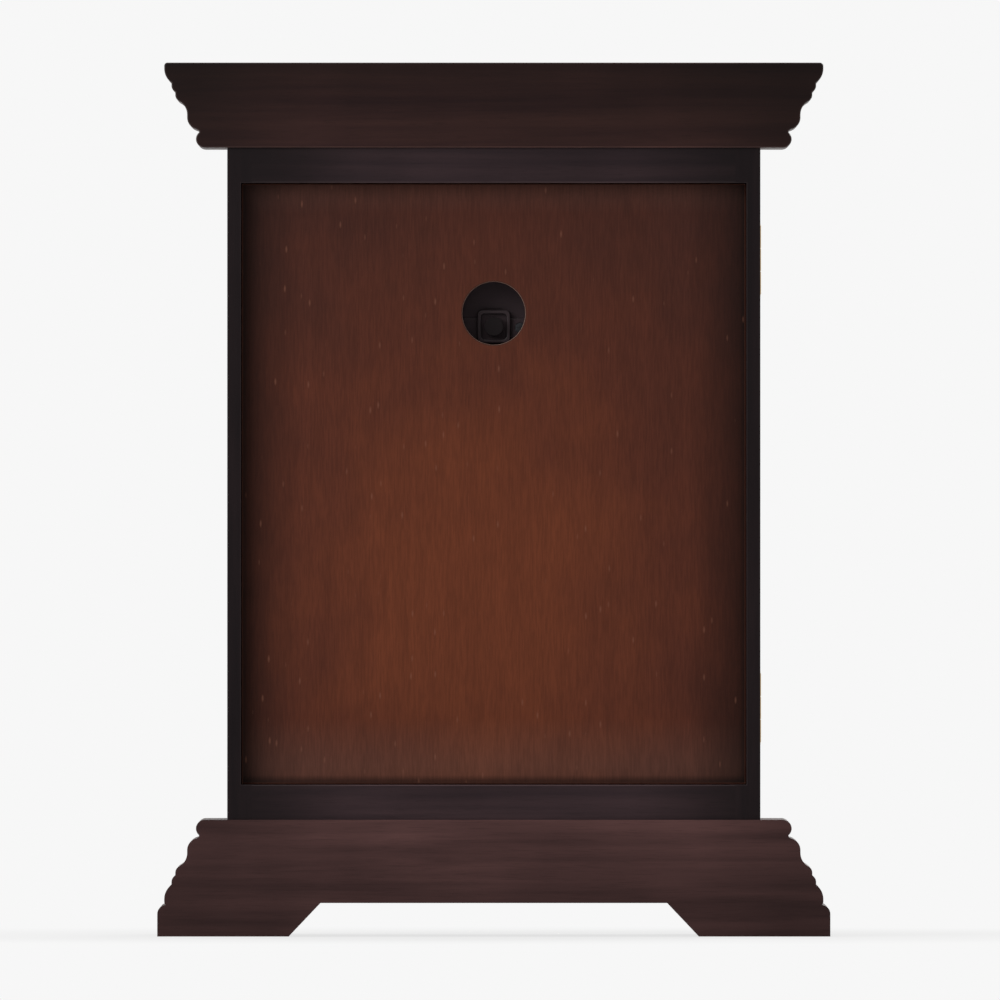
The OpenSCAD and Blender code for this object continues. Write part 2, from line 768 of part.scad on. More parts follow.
module hinge_case_leaves() color("#b3923f") hinge_half(case_front_y, 0);

module hinge_door_leaves() color("#b3923f") hinge_half(door_back_y - leaf_t, 1);

module hinge_pins() color("#a38238") for (z = hinge_zs) translate([hinge_x, hinge_y, z]) {
    cylinder(d = hinge_pin_d, h = hinge_h);
    for (end = [-pin_head_h, hinge_h]) translate([0, 0, end])
        cylinder(d = knuckle_d - 2 * fit_gap, h = pin_head_h);
}

module catch_bore() translate([catch_x, 0, case_mid_z])
    bar_y(magnet_d + 2 * push_gap, case_front_y - over, case_front_y + magnet_l);

module catch_magnet() color("#8f9296") translate([catch_x, 0, case_mid_z])
    bar_y(magnet_d, case_front_y, case_front_y + magnet_l);

module strike_plate() color("#9b9da0") translate([catch_x, 0, case_mid_z])
    bar_y(strike_d, door_back_y, door_back_y + strike_t);

// Dial

// A cutter that widens towards the front, for the bevel round the window
module window_flare() {
    x = window_w / 2 - window_r;
    z0 = window_z0 + window_r;
    z1 = window_z1 - window_r;
    deep = board_y + window_bevel;
    flare = window_bevel + over;
    wide = window_r + flare;
    for (sx = [-x, x], z = [z0, z1]) translate([sx, deep, z])
        rotate([90, 0, 0]) cylinder(r1 = window_r, r2 = wide, h = flare);
    translate([0, 0, z0]) linear_extrude(z1 - z0) polygon([[-x - window_r, deep],
        [x + window_r, deep], [x + wide, deep - flare], [-x - wide, deep - flare]]);
    translate([-x, 0, 0]) rotate([90, 0, 90]) linear_extrude(2 * x) polygon([[deep, z0 - window_r],
        [deep, z1 + window_r], [deep - flare, z1 + wide], [deep - flare, z0 - wide]]);
}

module dial_board() color("#3a2720") difference() {
    block([-inner_w + fit_gap, board_y, inner_z0 + fit_gap],
        [inner_w - fit_gap, board_back_y, inner_z1 - fit_gap]);
    flat_y(board_y - over, board_back_y + over)
        rounded_rect(-window_w / 2, window_z0, window_w / 2, window_z1, window_r);
    window_flare();
    translate([0, 0, hands_z]) bar_y(neck_d + 2 * fit_gap, board_y - over, board_back_y + over);
    dial_screw_places() bar_y(screw_d + 2 * push_gap, board_back_y - screw_bite - end_gap,
        board_back_y + over);
}

module dial_screw_places() for (x = [-1, 1], z = screw_zs)
    translate([x * (inner_w - cleat_w / 2), 0, z]) children();

module dial_cleats() color("#8a6a48") difference() {
    both_sides() block([inner_w - cleat_w, board_back_y, inner_z0 + cleat_short],
        [inner_w, board_back_y + cleat_w, inner_z1 - cleat_short]);
    dial_screw_places() bar_y(screw_d + 2 * push_gap, board_back_y - over,
        board_back_y + cleat_w + over);
}

module dial_board_screws() color("#a9a9a4") dial_screw_places() {
    head_y = board_back_y + cleat_w;
    turned_y() polygon(concat(
        [[0, board_back_y - screw_bite], [screw_d / 2, board_back_y - screw_bite],
         [screw_d / 2, head_y], [screw_head_d / 2, head_y]],
        [for (a = [15 : 15 : 90]) [screw_head_d / 2 * cos(a), head_y + screw_head_h * sin(a)]]));
}

module dial_plate() color("#f1efe6") translate([0, 0, hands_z]) difference() {
    bar_y(bezel_d - 2 * dial_seat, dial_y, board_y);
    bar_y(neck_d + 2 * fit_gap, dial_y - over, board_y + over);
}

module dial_bezel() color("#b8923c") translate([0, 0, hands_z]) turned_y() {
    outer = bezel_d / 2;
    inner = outer - bezel_w;
    seat = outer - dial_seat + fit_gap;
    round_r = min(bezel_w, bezel_h) * bezel_round;
    polygon(concat(
        [[seat, dial_y - push_gap], [seat, board_y], [outer, board_y]],
        arc([outer - round_r, board_y - bezel_h + round_r], round_r, 0, -90),
        arc([inner + bezel_lip_r, board_y - bezel_h + bezel_lip], bezel_lip_r, -90, -180),
        [[inner, dial_y - push_gap]]));
}

// Spade hands, pointing up, with the boss on the origin; the spade's proportions follow its lobes
module spade_hand(l, boss, stem, lobe) {
    head = l - 4.6 * lobe;      // foot of the spade
    tip_w = stem * 0.6;
    circle(d = boss);
    polygon([[-stem, 0], [stem, 0], [tip_w, head + lobe], [-tip_w, head + lobe]]);
    for (s = [-1, 1]) translate([s * lobe * 0.85, head + lobe]) circle(lobe);
    polygon([[-lobe * 1.75, head + lobe * 1.4], [lobe * 1.75, head + lobe * 1.4],
        [lobe * 0.3, l - lobe], [0, l], [-lobe * 0.3, l - lobe]]);
    translate([0, head - lobe * 0.2]) circle(lobe * 0.5);
}

module hour_hand() color("#161616") translate([0, 0, hands_z]) rotate([0, hour_rest, 0]) {
    difference() {
        union() {
            flat_y(hour_y, hour_y + hand_t) spade_hand(hour_l, hour_boss, hour_stem, hour_lobe);
            bar_y(hour_hub, hour_y, pipe_y + step_out - end_gap);
        }
        bar_y(pipe_d + 2 * push_gap, hour_y - over, pipe_y + step_out);
    }
}

module minute_hand() color("#161616") translate([0, 0, hands_z]) rotate([0, minute_rest, 0]) {
    difference() {
        union() {
            flat_y(minute_y, minute_y + hand_t)
                spade_hand(minute_l, minute_boss, minute_stem, minute_lobe);
            bar_y(minute_hub, minute_y, pipe_y - end_gap);
        }
        bar_y(shaft_d + 2 * push_gap, minute_y - over, pipe_y);
    }
}

module hand_nut() color("#b3923f") translate([0, 0, hands_z]) difference() {
    bar_y(cap_d, shaft_y - cap_t, minute_y);
    bar_y(shaft_d + 2 * push_gap, shaft_y, minute_y + over);
}

// Wheels: the outline of a toothed wheel with involute flanks
function involute_deg(a) = tan(a) * 180 / PI - a;
function tooth_half(n, r) = let (
        pitch_r = gear_m * n / 2,
        base_r = pitch_r * cos(pressure_angle),
        flank = r > base_r ? involute_deg(acos(base_r / r)) : 0)
    90 / n - backlash / pitch_r * 90 / PI + involute_deg(pressure_angle) - flank;

module wheel_outline(n, turn) {
    pitch_r = gear_m * n / 2;
    radii = [pitch_r - dedendum * gear_m, pitch_r * cos(pressure_angle) + base_step, pitch_r,
        pitch_r + addendum * gear_m];
    polygon([for (i = [0 : n - 1], s = [-1, 1], j = [0 : 3])
        let (k = s < 0 ? j : 3 - j) polar(radii[k], turn + 360 * i / n + s * tooth_half(n, radii[k]))]);
}

module hour_wheel() color("#d9d4c4") translate([0, 0, hands_z]) difference() {
    union() {
        flat_y(wheel_y1, wheel_y1 + wheel_t) wheel_outline(hour_n, 90 + 180 / hour_n);
        bar_y(pipe_d, pipe_y, wheel_y1 + wheel_t);
    }
    bar_y(shaft_d + 2 * turn_gap, pipe_y - over, wheel_y1 + wheel_t + over);
}

module minute_arbor() color("#c2a14d") translate([0, 0, hands_z]) {
    bar_y(shaft_d, shaft_y, plate_y + plate_t / 2);
    flat_y(wheel_y2, wheel_y2 + wheel_t) wheel_outline(cannon_n, 90);
}

module setting_arbor() color("#d9d4c4") translate([0, 0, knob_z]) {
    bar_y(set_shaft_d, mv_y + mv_wall / 2 + end_gap, mv_back + set_knob_l - over);
    flat_y(wheel_y1, wheel_y2) wheel_outline(pinion_n, -90);
    flat_y(wheel_y2, wheel_y2 + wheel_t) wheel_outline(minute_n, 180 / minute_n - 90);
}

module setting_knob() color("#1d1d1e") translate([0, 0, knob_z]) difference() {
    low = mv_back + end_gap;
    union() {
        flat_y(low + collar_t, mv_back + set_knob_l) polygon([for (i = [0 : 2 * knob_ridges - 1])
            polar(set_knob_d / 2 - (i % 2) * ridge_h, 180 * i / knob_ridges)]);
        bar_y(set_knob_d - 2 * collar_in, low, low + collar_t);
    }
    bar_y(set_shaft_d + 2 * push_gap, mv_back, mv_back + set_knob_l - over);
}

// Movement housing
module at_posts(places) for (p = places) translate([p[0], 0, p[1]]) children();

module housing(inset) rounded_rect(-mv_w / 2 + inset, mv_z0 + inset, mv_w / 2 - inset,
    mv_z1 - inset, mv_r - inset);

module movement_case() color("#1b1b1c") difference() {
    union() {
        difference() {
            flat_y(mv_y, mv_split) housing(0);
            flat_y(mv_y + mv_wall, mv_split + over) housing(mv_wall);
        }
        at_posts(corner_posts) bar_y(post_d, mv_y + mv_wall / 2, plate_y);
    }
    at_posts(corner_posts) bar_y(mv_screw_d + 2 * push_gap, mv_y + mv_wall, plate_y + over);
    translate([0, 0, hands_z]) {
        bar_y(pipe_d + 2 * fit_gap, mv_y - over, mv_y + mv_wall + over);
        bar_y(neck_flange_d + 2 * push_gap, mv_y - over, mv_y + neck_flange_t);
    }
    translate([0, 0, knob_z])
        bar_y(set_shaft_d + 2 * turn_gap, mv_y + mv_wall / 2, mv_y + mv_wall + over);
    block([-slot_w / 2, arm_y - end_gap, mv_z0 - over],
        [slot_w / 2, arm_y + arm_t + end_gap, mv_z0 + mv_wall + over]);
}

module bay_box(grow, y1) block([-bay_x - grow, bay_y - grow, battery_z - bay_z - grow],
    [bay_x + grow, y1, battery_z + bay_z + grow]);

// The outside or the inside of the back shell, which is shallower above the step
module cover_block(inset, y0) {
    intersection() {
        flat_y(y0, mv_back - inset) housing(inset);
        block([-mv_w, y0, mv_z0 - over], [mv_w, mv_back, step_z - inset]);
    }
    flat_y(y0, mv_back - step_in - inset) housing(inset);
}

module movement_cover() color("#1e1e1f") difference() {
    union() {
        difference() {
            cover_block(0, mv_split);
            cover_block(mv_wall, mv_split - over);
        }
        bay_box(bay_wall, mv_back - mv_wall / 2);
        for (p = posts) translate([p[0], 0, p[1]])
            bar_y(post_d, plate_back, housing_back(p[1]) - mv_wall / 2);
        translate([0, 0, pivot_z])
            bar_y(hub_d, arm_y + arm_t + hub_out + end_gap, mv_back - mv_wall / 2);
        flat_y(mv_back - mv_wall / 2, mv_back + rim_out) translate([0, knob_z])
            rounded_rect(-rim_w / 2, -rim_w / 2, rim_w / 2, rim_w / 2, rim_r);
    }
    bay_box(0, mv_back + over);
    flat_y(mv_back, mv_back + rim_out + over) translate([0, knob_z])
        rounded_rect(rim_wall - rim_w / 2, rim_wall - rim_w / 2, rim_w / 2 - rim_wall,
            rim_w / 2 - rim_wall, rim_inner_r);
    for (p = posts) translate([p[0], 0, p[1]]) {
        bar_y(mv_screw_d + 2 * fit_gap, plate_back - over, mv_back + over);
        bar_y(mv_head_d + 2 * fit_gap, housing_back(p[1]) - mv_head_h, mv_back + over);
    }
    translate([0, 0, knob_z]) bar_y(set_shaft_d + 2 * turn_gap, mv_back - 2 * mv_wall, mv_back + over);
    translate([0, 0, pivot_z]) bar_y(pivot_d + 2 * push_gap, arm_y, swing_pin_y);
    block([-latch_w / 2, mv_back - step_in - mv_wall / 2, step_z + latch_up],
        [latch_w / 2, mv_back, step_z + latch_up + latch_slot]);
}

module movement_screw(tip, back) difference() {
    union() {
        bar_y(mv_screw_d, tip, back - mv_head_h);
        bar_y(mv_head_d, back - mv_head_h, back);
    }
    block([-mv_head_d, back - drive_slot, -drive_slot / 2], [mv_head_d, back + over, drive_slot / 2]);
}

// The middle screw only reaches the bearing plate, which has no post under it there
module movement_screws() color("#b5b6b8") for (p = posts) translate([p[0], 0, p[1]])
    movement_screw(p[0] == mid_post_x ? plate_y - over : mv_y + mv_wall + end_gap, housing_back(p[1]));

module bearing_plate() color("#2a2a2c") difference() {
    union() {
        flat_y(plate_y, plate_back) housing(mv_wall + fit_gap);
        translate([0, 0, pivot_z]) bar_y(hub_d, plate_y, arm_y - hub_out - end_gap);
    }
    at_posts(posts) bar_y(mv_screw_d + 2 * push_gap, plate_y - over, plate_back + over);
    translate([0, 0, hands_z]) bar_y(shaft_d + 2 * turn_gap, plate_y - over, plate_back + over);
    translate([0, 0, knob_z]) bar_y(set_shaft_d + 2 * turn_gap, plate_y - over, plate_back + over);
    translate([0, 0, pivot_z]) bar_y(pivot_d + 2 * push_gap, plate_y - over, arm_y);
}

module fixing_neck() color("#b8963f") translate([0, 0, hands_z]) difference() {
    union() {
        bar_y(neck_d, neck_y, mv_y + neck_flange_t);
        bar_y(neck_flange_d, mv_y, mv_y + neck_flange_t);
    }
    bar_y(pipe_d + 2 * turn_gap, neck_y - over, mv_y + neck_flange_t + over);
}

module fixing_nut() color("#b8963f") translate([0, 0, hands_z]) difference() {
    translate([0, nut_y + nut_t, 0]) rotate([90, 0, 0])
        cylinder(d = neck_d + 2 * nut_wall, h = nut_t, $fn = 6);
    bar_y(neck_d + 2 * push_gap, nut_y - over, nut_y + nut_t + over);
}

module ring_y(d, bore, y0, y1) translate([0, 0, hands_z]) difference() {
    bar_y(d, y0, y1);
    bar_y(bore, y0 - over, y1 + over);
}

module fixing_washer() color("#c9a94f")
    ring_y(neck_d + 2 * washer_w, neck_d + fit_gap, dial_y - washer_t, dial_y);

module rubber_gasket() color("#111111")
    ring_y(neck_d + 2 * gasket_w, neck_d + fit_gap, board_back_y, mv_y);

module circuit_board() color("#2f6b3f")
    translate([-mv_w / 2 + mv_wall + pcb_side, plate_back, hands_z - pcb_down])
        cube([pcb_w, pcb_t, pcb_h]);

module motor_stator() color("#8d9094") flat_y(plate_back, plate_back + stator_t)
    translate([motor_x - stator_l, motor_z]) difference() {
        union() {
            translate([-stator_w / 2, 0]) square([stator_w, motor_l]);
            for (z = [0, motor_l - stator_w / 2]) translate([0, z])
                square([stator_l + bobbin / 2, stator_w / 2]);
        }
        translate([0, motor_l / 2]) circle(d = rotor_d);
    }

module motor_coil() color("#a8562a") translate([motor_x, plate_back + stator_t, motor_z]) {
    for (z = [0, motor_l - flange_t]) translate([-bobbin / 2, 0, z]) cube([bobbin, bobbin, flange_t]);
    translate([0, bobbin / 2, 0]) cylinder(d = bobbin - flange_t, h = motor_l);
}

module battery() color("#7d2f2a") translate([-battery_l / 2, battery_y, battery_z])
    rotate([0, 90, 0]) {
        cylinder(d = battery_d, h = battery_l - nub_l);
        cylinder(d = nub_d, h = battery_l);
    }

module battery_contacts() color("#c5c8cb") both_sides()
    block([battery_l / 2, battery_y - contact_w / 2, battery_z - contact_w / 2],
        [battery_l / 2 + contact_t, battery_y + contact_w / 2, battery_z + contact_w / 2]);

module pendulum_coil() color("#a8562a") translate([0, 0, pivot_z - drive_down]) difference() {
    bar_y(coil_d, plate_back, plate_back + coil_t);
    bar_y(coil_bore, plate_back - over, plate_back + coil_t + over);
}

// Pendulum
module swing_arm() color("#26262a") difference() {
    union() {
        flat_y(arm_y, arm_y + arm_t) {
            translate([-arm_w / 2, hang_z - arm_toe]) square([arm_w, pivot_z - hang_z + arm_toe]);
            translate([0, pivot_z - drive_down]) circle(d = drive_magnet_d + 2 * magnet_rim);
        }
        translate([0, 0, pivot_z]) bar_y(hub_d, arm_y - hub_out, arm_y + arm_t + hub_out);
        translate([0, 0, hang_z]) {
            bar_y(peg_d, arm_y, peg_y + peg_head_t);
            bar_y(peg_d + 2 * peg_head, peg_y, peg_y + peg_head_t);
        }
    }
    translate([0, 0, pivot_z])
        bar_y(pivot_d + 2 * turn_gap, arm_y - 2 * hub_out, arm_y + arm_t + 2 * hub_out);
    translate([0, 0, pivot_z - drive_down])
        bar_y(drive_magnet_d + 2 * push_gap, arm_y - over, arm_y + arm_t + over);
}

module swing_magnet() color("#9ea1a5") translate([0, 0, pivot_z - drive_down])
    bar_y(drive_magnet_d, arm_y, arm_y + arm_t);

module swing_pin() color("#b5b6b8") translate([0, 0, pivot_z]) bar_y(pivot_d, plate_y, swing_pin_y);

module pendulum_rod() color("#b8923c") flat_y(rod_y, rod_y + rod_t) difference() {
    union() {
        translate([-rod_w / 2, bob_z - rod_w]) square([rod_w, hang_z - bob_z + rod_w]);
        translate([0, hang_z]) circle(d = eye_d);
    }
    translate([0, hang_z]) circle(d = peg_d + 2 * push_gap);
}

// The face is a shallow dome inside a bead
module pendulum_bob() color("#c39b41") translate([0, 0, bob_z]) turned_y() {
    bead_x = bob_d / 2 - bob_bead;
    bead_end = -150;
    face = [bead_x, rod_y] + polar(bob_bead, bead_end);
    polygon(concat(
        [[0, rod_y], [bob_d / 2, rod_y]],
        arc([bead_x, rod_y], bob_bead, 0, bead_end),
        [for (t = [0.9 : -0.1 : 0]) [t * face[0], face[1] + (bob_front - face[1]) * (1 - t * t)]]));
}

module bob_back() color("#a9853a") difference() {
    back = bob_front + bob_t;
    translate([0, 0, bob_z]) turned_y() polygon([[0, rod_y], [bob_d / 2, rod_y],
        [bob_d / 2, back - bob_chamfer], [bob_d / 2 - bob_chamfer, back], [0, back]]);
    block([-rod_w / 2 - fit_gap, rod_y - over, bob_z - rod_w - fit_gap],
        [rod_w / 2 + fit_gap, rod_y + rod_t + push_gap, bob_z + bob_d]);
}

left_side();
right_side();
case_top();
case_bottom();
back_panel();
crown_front();
crown_left();
crown_right();
crown_back();
crown_panel();
base_front();
base_left();
base_right();
base_back();
base_deck();
base_glue_blocks();
door_hinge_stile();
door_knob_stile();
door_top_rail();
door_bottom_rail();
door_glass();
glazing_beads();
door_knob();
hinge_case_leaves();
hinge_door_leaves();
hinge_pins();
catch_magnet();
strike_plate();
dial_board();
dial_cleats();
dial_board_screws();
dial_plate();
dial_bezel();
hour_hand();
minute_hand();
hand_nut();
movement_case();
movement_cover();
movement_screws();
bearing_plate();
fixing_neck();
fixing_nut();
fixing_washer();
rubber_gasket();
hour_wheel();
minute_arbor();
setting_arbor();
setting_knob();
circuit_board();
motor_stator();
motor_coil();
battery();
battery_contacts();
pendulum_coil();
swing_arm();
swing_magnet();
swing_pin();
pendulum_rod();
pendulum_bob();
bob_back();
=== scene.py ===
"""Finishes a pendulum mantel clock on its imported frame: case, glazed door, dial, movement, pendulum."""

import json
import math

import bmesh
import bpy
from bpy.props import FloatProperty, FloatVectorProperty, IntProperty, PointerProperty
from bpy.types import Operator, Panel, PropertyGroup
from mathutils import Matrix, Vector
from mathutils.bvhtree import BVHTree


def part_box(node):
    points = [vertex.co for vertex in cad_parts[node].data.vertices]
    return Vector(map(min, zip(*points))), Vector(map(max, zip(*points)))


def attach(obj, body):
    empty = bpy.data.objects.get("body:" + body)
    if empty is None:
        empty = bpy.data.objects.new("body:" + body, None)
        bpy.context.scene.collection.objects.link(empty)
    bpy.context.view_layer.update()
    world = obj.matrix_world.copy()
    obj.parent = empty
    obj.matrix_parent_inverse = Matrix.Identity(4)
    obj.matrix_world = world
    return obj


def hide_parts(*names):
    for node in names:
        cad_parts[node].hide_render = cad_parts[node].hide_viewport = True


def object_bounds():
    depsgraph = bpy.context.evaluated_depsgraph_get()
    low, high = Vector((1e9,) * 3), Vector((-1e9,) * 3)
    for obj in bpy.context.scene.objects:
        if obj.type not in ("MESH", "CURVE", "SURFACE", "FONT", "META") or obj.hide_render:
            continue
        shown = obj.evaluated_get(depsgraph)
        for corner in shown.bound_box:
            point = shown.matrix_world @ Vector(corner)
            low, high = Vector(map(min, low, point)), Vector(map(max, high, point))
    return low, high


bl_info = {
    "name": "Pendulum mantel clock",
    "version": (1, 0, 0),
    "blender": (4, 5, 0),
    "location": "View3D > Sidebar > Clock",
    "description": "Finishes the pieces of a pendulum mantel clock on its packed frame",
    "category": "Object",
}

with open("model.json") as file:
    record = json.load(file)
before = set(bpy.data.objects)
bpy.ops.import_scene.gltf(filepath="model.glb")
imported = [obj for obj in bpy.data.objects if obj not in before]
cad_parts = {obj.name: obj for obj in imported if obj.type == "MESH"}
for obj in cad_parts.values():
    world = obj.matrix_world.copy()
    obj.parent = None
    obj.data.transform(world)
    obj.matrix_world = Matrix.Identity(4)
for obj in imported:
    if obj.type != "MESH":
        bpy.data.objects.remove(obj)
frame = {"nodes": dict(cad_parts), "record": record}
CAD_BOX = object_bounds()
NODES = frame["nodes"]
RECORD = frame["record"]
BODY_OF = {node: body for body, nodes in RECORD["behaviour"]["bodies"].items() for node in nodes}

MM = 0.001
# Two corners closer than this are one corner of the welded mesh
WELD = 0.002 * MM
# Faces that turn by less than this lie in one plane
FLAT = math.radians(0.5)
# An edge that turns by more than the first angle is an arris, and by more than the second is a mitre
ARRIS_TURN = math.radians(50)
MITRE_TURN = math.radians(110)
# Edges that turn by less than this are shaded as one curve
CURVE_TURN = math.radians(30)
# An arris this close to another board is a glued joint
JOINT = 0.12 * MM
# A face looks to the wall where its normal's part along Y is above this
FACING = 0.9
# A face of the plywood is cut across the plies where that part is below this
CUT_ACROSS = 0.2
# How much wider the plywood's edges are rubbed than the boards' are
PLY_RUBBING = 1.1
# The movement's back is stepped this far above the setting knob's axis
COVER_STEP = 3.4 * MM
# How far the edges of that step and of the knob's well are rounded
COVER_EDGE = 0.4 * MM
# How far each way of making rounds the edges of a small part
ROUNDED = {"pressed": 0.12 * MM, "plated": 0.1 * MM, "lacquered": 0.08 * MM, "turned": 0.1 * MM,
           "moulded": 0.15 * MM, "blackened": 0.12 * MM, "drawn": 0.1 * MM}
# Height of one hinge, and where its screws sit: as shares of that height, and of the leaves' width
HINGE_HEIGHT = 28 * MM
SCREWS_UP = (0.2, 0.5, 0.8)
SCREWS_ACROSS = 0.7
# How far from the case's inside the door's seal starts and ends, and how clear it is of the shut door
SEAL_REACH = (0.05 * MM, 0.95 * MM)
SEAL_CLEAR = 0.01 * MM
# Between the serifs of two letters, in millimetres
LETTER_GAP = 0.25
# Flats round the minute track's lines, round the seal's rounded side and round the floor
RING_STEPS = 180
SEAL_STEPS = 8
FLOOR_STEPS = 96
# Where each lamp stands and how wide it is, in metres
LAMPS = {"back_key": ((0.85, 1.0, 0.75), 0.8), "front_key": ((-1.0, -1.75, 1.2), 1.2)}
# How far the camera sees, in metres
CLIP_END = 60.0
# The floor's reach, where its shading starts to fade and is gone, in metres, and its drop under the feet
FLOOR_REACH = 1.6
FLOOR_FADE = (0.12, 0.42)
FLOOR_DROP = 0.2 * MM
# Inputs of a Mix node that take the two colours
MIX_A, MIX_B = 6, 7
# Inputs of a Map Range node, in the order in which a span gives them
SPAN = ("From Min", "From Max", "To Min", "To Max")
# Input of a Random Value node that takes its highest number
RANDOM_MAX = 3
WHITE = (1.0, 1.0, 1.0, 1.0)
BLACK = (0.0, 0.0, 0.0, 1.0)


def srgb(code):
    """Turns an sRGB hex colour to linear red, green, blue and alpha."""
    channels = [int(code[i:i + 2], 16) / 255 for i in (0, 2, 4)]
    return tuple(c / 12.92 if c <= 0.04045 else ((c + 0.055) / 1.055) ** 2.4 for c in channels) + (1.0,)


def tint(name, code, description):
    """A colour setting, from its sRGB hex value."""
    return FloatVectorProperty(name=name, description=description, default=srgb(code), size=4,
                               min=0.0, max=1.0, subtype="COLOR")


def length(name, millimetres, description):
    """A length setting, from its value in millimetres."""
    return FloatProperty(name=name, description=description, default=millimetres * MM, min=0.0,
                         precision=4, unit="LENGTH")


class StageSettings(PropertyGroup):
    """The camera, the lamps and the floor."""

    distance: length("Camera distance", 18000, "From the camera to the back of the clock")
    height: length("Camera height", 176, "Height of the camera's level line of sight")
    aside: length("Camera offset", 2.5, "How far the camera stands to the clock's left of its middle")
    picture: length("Picture width", 403.2, "Width that the picture spans at the back of the clock")
    backdrop: tint("Backdrop", "F7F7F7", "Colour behind and under the clock")
    floor: tint("Floor", "D8D8D8", "Colour that the floor throws back on the clock")
    shadow: FloatProperty(name="Shadow", description="Share of the floor's shading that the camera sees",
                          default=0.2, min=0.0, max=1.0, subtype="FACTOR")
    ambient: FloatProperty(name="Ambient", description="Strength of the even light from all round",
                           default=0.55, min=0.0)
    back_key: FloatProperty(name="Back key", description="Power of the large lamp behind the clock",
                            default=11.5, min=0.0, unit="POWER")
    front_key: FloatProperty(name="Front key", description="Power of the large lamp before the dial",
                             default=24.0, min=0.0, unit="POWER")


class WoodSettings(PropertyGroup):
    """The stains, the figure of the timber and the wear of its edges."""

    front_deep: tint("Front stain, deep", "2D1814", "Stain of the faces that show, dense grain")
    front_pale: tint("Front stain, pale", "4D2B24", "Stain of the faces that show, open grain")
    # The crown's back is a darker and the base's back a paler copy of one stain: painted shade and painted
    # light
    crown_deep: tint("Crown back, deep", "261515", "Stain of the crown's back, dense grain")
    crown_pale: tint("Crown back, pale", "3A2420", "Stain of the crown's back, open grain")
    base_deep: tint("Base back, deep", "3C2827", "Stain of the base's back, dense grain")
    base_pale: tint("Base back, pale", "563B39", "Stain of the base's back, open grain")
    case_deep: tint("Case back, deep", "20171A", "Stain of the case's back edges, dense grain")
    case_pale: tint("Case back, pale", "302325", "Stain of the case's back edges, open grain")
    # The panel steps from a warm lower middle to dark upper corners: cloudy stain and a painted pool of light
    panel_deep: tint("Panel stain, deep", "3A1E17", "Stain of the plywood's upper corners")
    panel_mid: tint("Panel stain, mid", "4B2519", "Stain of the plywood's outer part")
    panel_warm_and_lit: tint("Panel stain, warm", "5E2F1C", "Stain of the plywood's lower middle")
    panel_fleck: tint("Panel fleck", "7C5140", "Short rays that took up little stain")
    # Grey that the panel turns towards near its top and its foot
    panel_grey: tint("Panel dust", "62483F", "Thin dust above and below, beside the frame")
    ply_core: tint("Plywood core", "6F4A3A", "Cut plies round the finger hole")
    # The plywood's eased edges, the finger hole's among them, are paler: worn plies and a painted highlight
    # ring
    ply_rubbed: tint("Plywood arris", "8E786E", "Rubbed edge of the finger hole")
    bare_deep: tint("Bare wood, deep", "9A744C", "Late wood of the unstained pine")
    bare_pale: tint("Bare wood, pale", "C49E6E", "Early wood of the unstained pine")
    figure_width: length("Figure width", 7, "Across one band of the grain")
    figure_length: length("Figure length", 160, "Along one band of the grain")
    pore_width: length("Pore width", 0.45, "Across one open pore, drawn coarser than real to show")
    pore_length: length("Pore length", 9, "Along one open pore")
    arris: length("Eased edge", 0.5, "How far the boards' edges are rubbed down")


class MetalSettings(PropertyGroup):
    """The brass, steel and hand finishes."""

    brass: tint("Polished brass", "D9B56A", "Bezel, knob and pendulum")
    hinge: tint("Pressed brass", "B99450", "Hinges, nuts and washers, left as pressed")
    zinc: tint("Zinc plate", "A9ABAD", "Screws, contacts and catch")
    oxide: tint("Black oxide", "343436", "Screws of the movement")
    black: tint("Hand black", "0E0E0F", "Paint on the hands")
    copper: tint("Enamelled wire", "9A4B22", "Windings of the coils")


class DialSettings(PropertyGroup):
    """The enamel, the printing and the minute track."""

    enamel: tint("Enamel", "F1EAD6", "Ground of the dial")
    ink: tint("Ink", "121112", "Numerals and minute track")
    numeral: length("Numeral height", 9.5, "Height of the hour numerals")
    numeral_radius: length("Numeral radius", 35, "From the hands' middle to the feet of the numerals")
    track_inner: length("Track inner radius", 46.6, "Middle of the minute track's inner line")
    track_outer: length("Track outer radius", 49.6, "Middle of the minute track's outer line")
    line: length("Line width", 0.25, "Width of the track's lines and minute marks")
    hour_mark: length("Hour mark width", 0.9, "Width of every fifth mark")
    relief: length("Ink relief", 0.04, "How far the printing stands on the enamel")
    minutes: IntProperty(name="Minute marks", description="Marks round the whole track", default=60, min=12)


class MovementSettings(PropertyGroup):
    """The plastics and the electric parts behind the dial."""

    housing: tint("Housing", "34292C", "Moulded case of the movement")
    edge: tint("Housing edge", "2C2224", "Edges of the housing, polished by the mould's parting")
    knob: tint("Setting knob", "171213", "Knob that sets the hands")
    wheel: tint("Wheels", "E4DFD0", "Moulded wheels")
    rubber: tint("Rubber", "161616", "Gasket behind the dial board")
    laminate: tint("Laminate", "2C6A41", "Circuit board")
    jacket: tint("Battery jacket", "8A2C26", "Printed film round the battery")
    band: tint("Battery band", "C9A24A", "Film at the battery's positive end")


def fill(tree, node, inputs):
    """Gives a node's inputs their values, or links them to sockets or to other nodes' first outputs."""
    for key, value in inputs.items():
        if isinstance(value, bpy.types.Node):
            value = next(socket for socket in value.outputs if socket.enabled)
        if isinstance(value, bpy.types.NodeSocket):
            tree.links.new(value, node.inputs[key])
        else:
            node.inputs[key].default_value = value


def add(tree, kind, inputs=None, stops=(), span=(), **settings):
    """Adds a node with its settings and inputs, and with a ramp's stops or a range's span."""
    node = tree.nodes.new(kind)
    for key, value in settings.items():
        setattr(node, key, value)
    fill(tree, node, {**(inputs or {}), **dict(zip(SPAN, span))})
    for index, (position, colour) in enumerate(stops):
        ramp = node.color_ramp.elements
        if index >= len(ramp):
            ramp.new(position)
        ramp[index].position = position
        ramp[index].color = colour
    return node


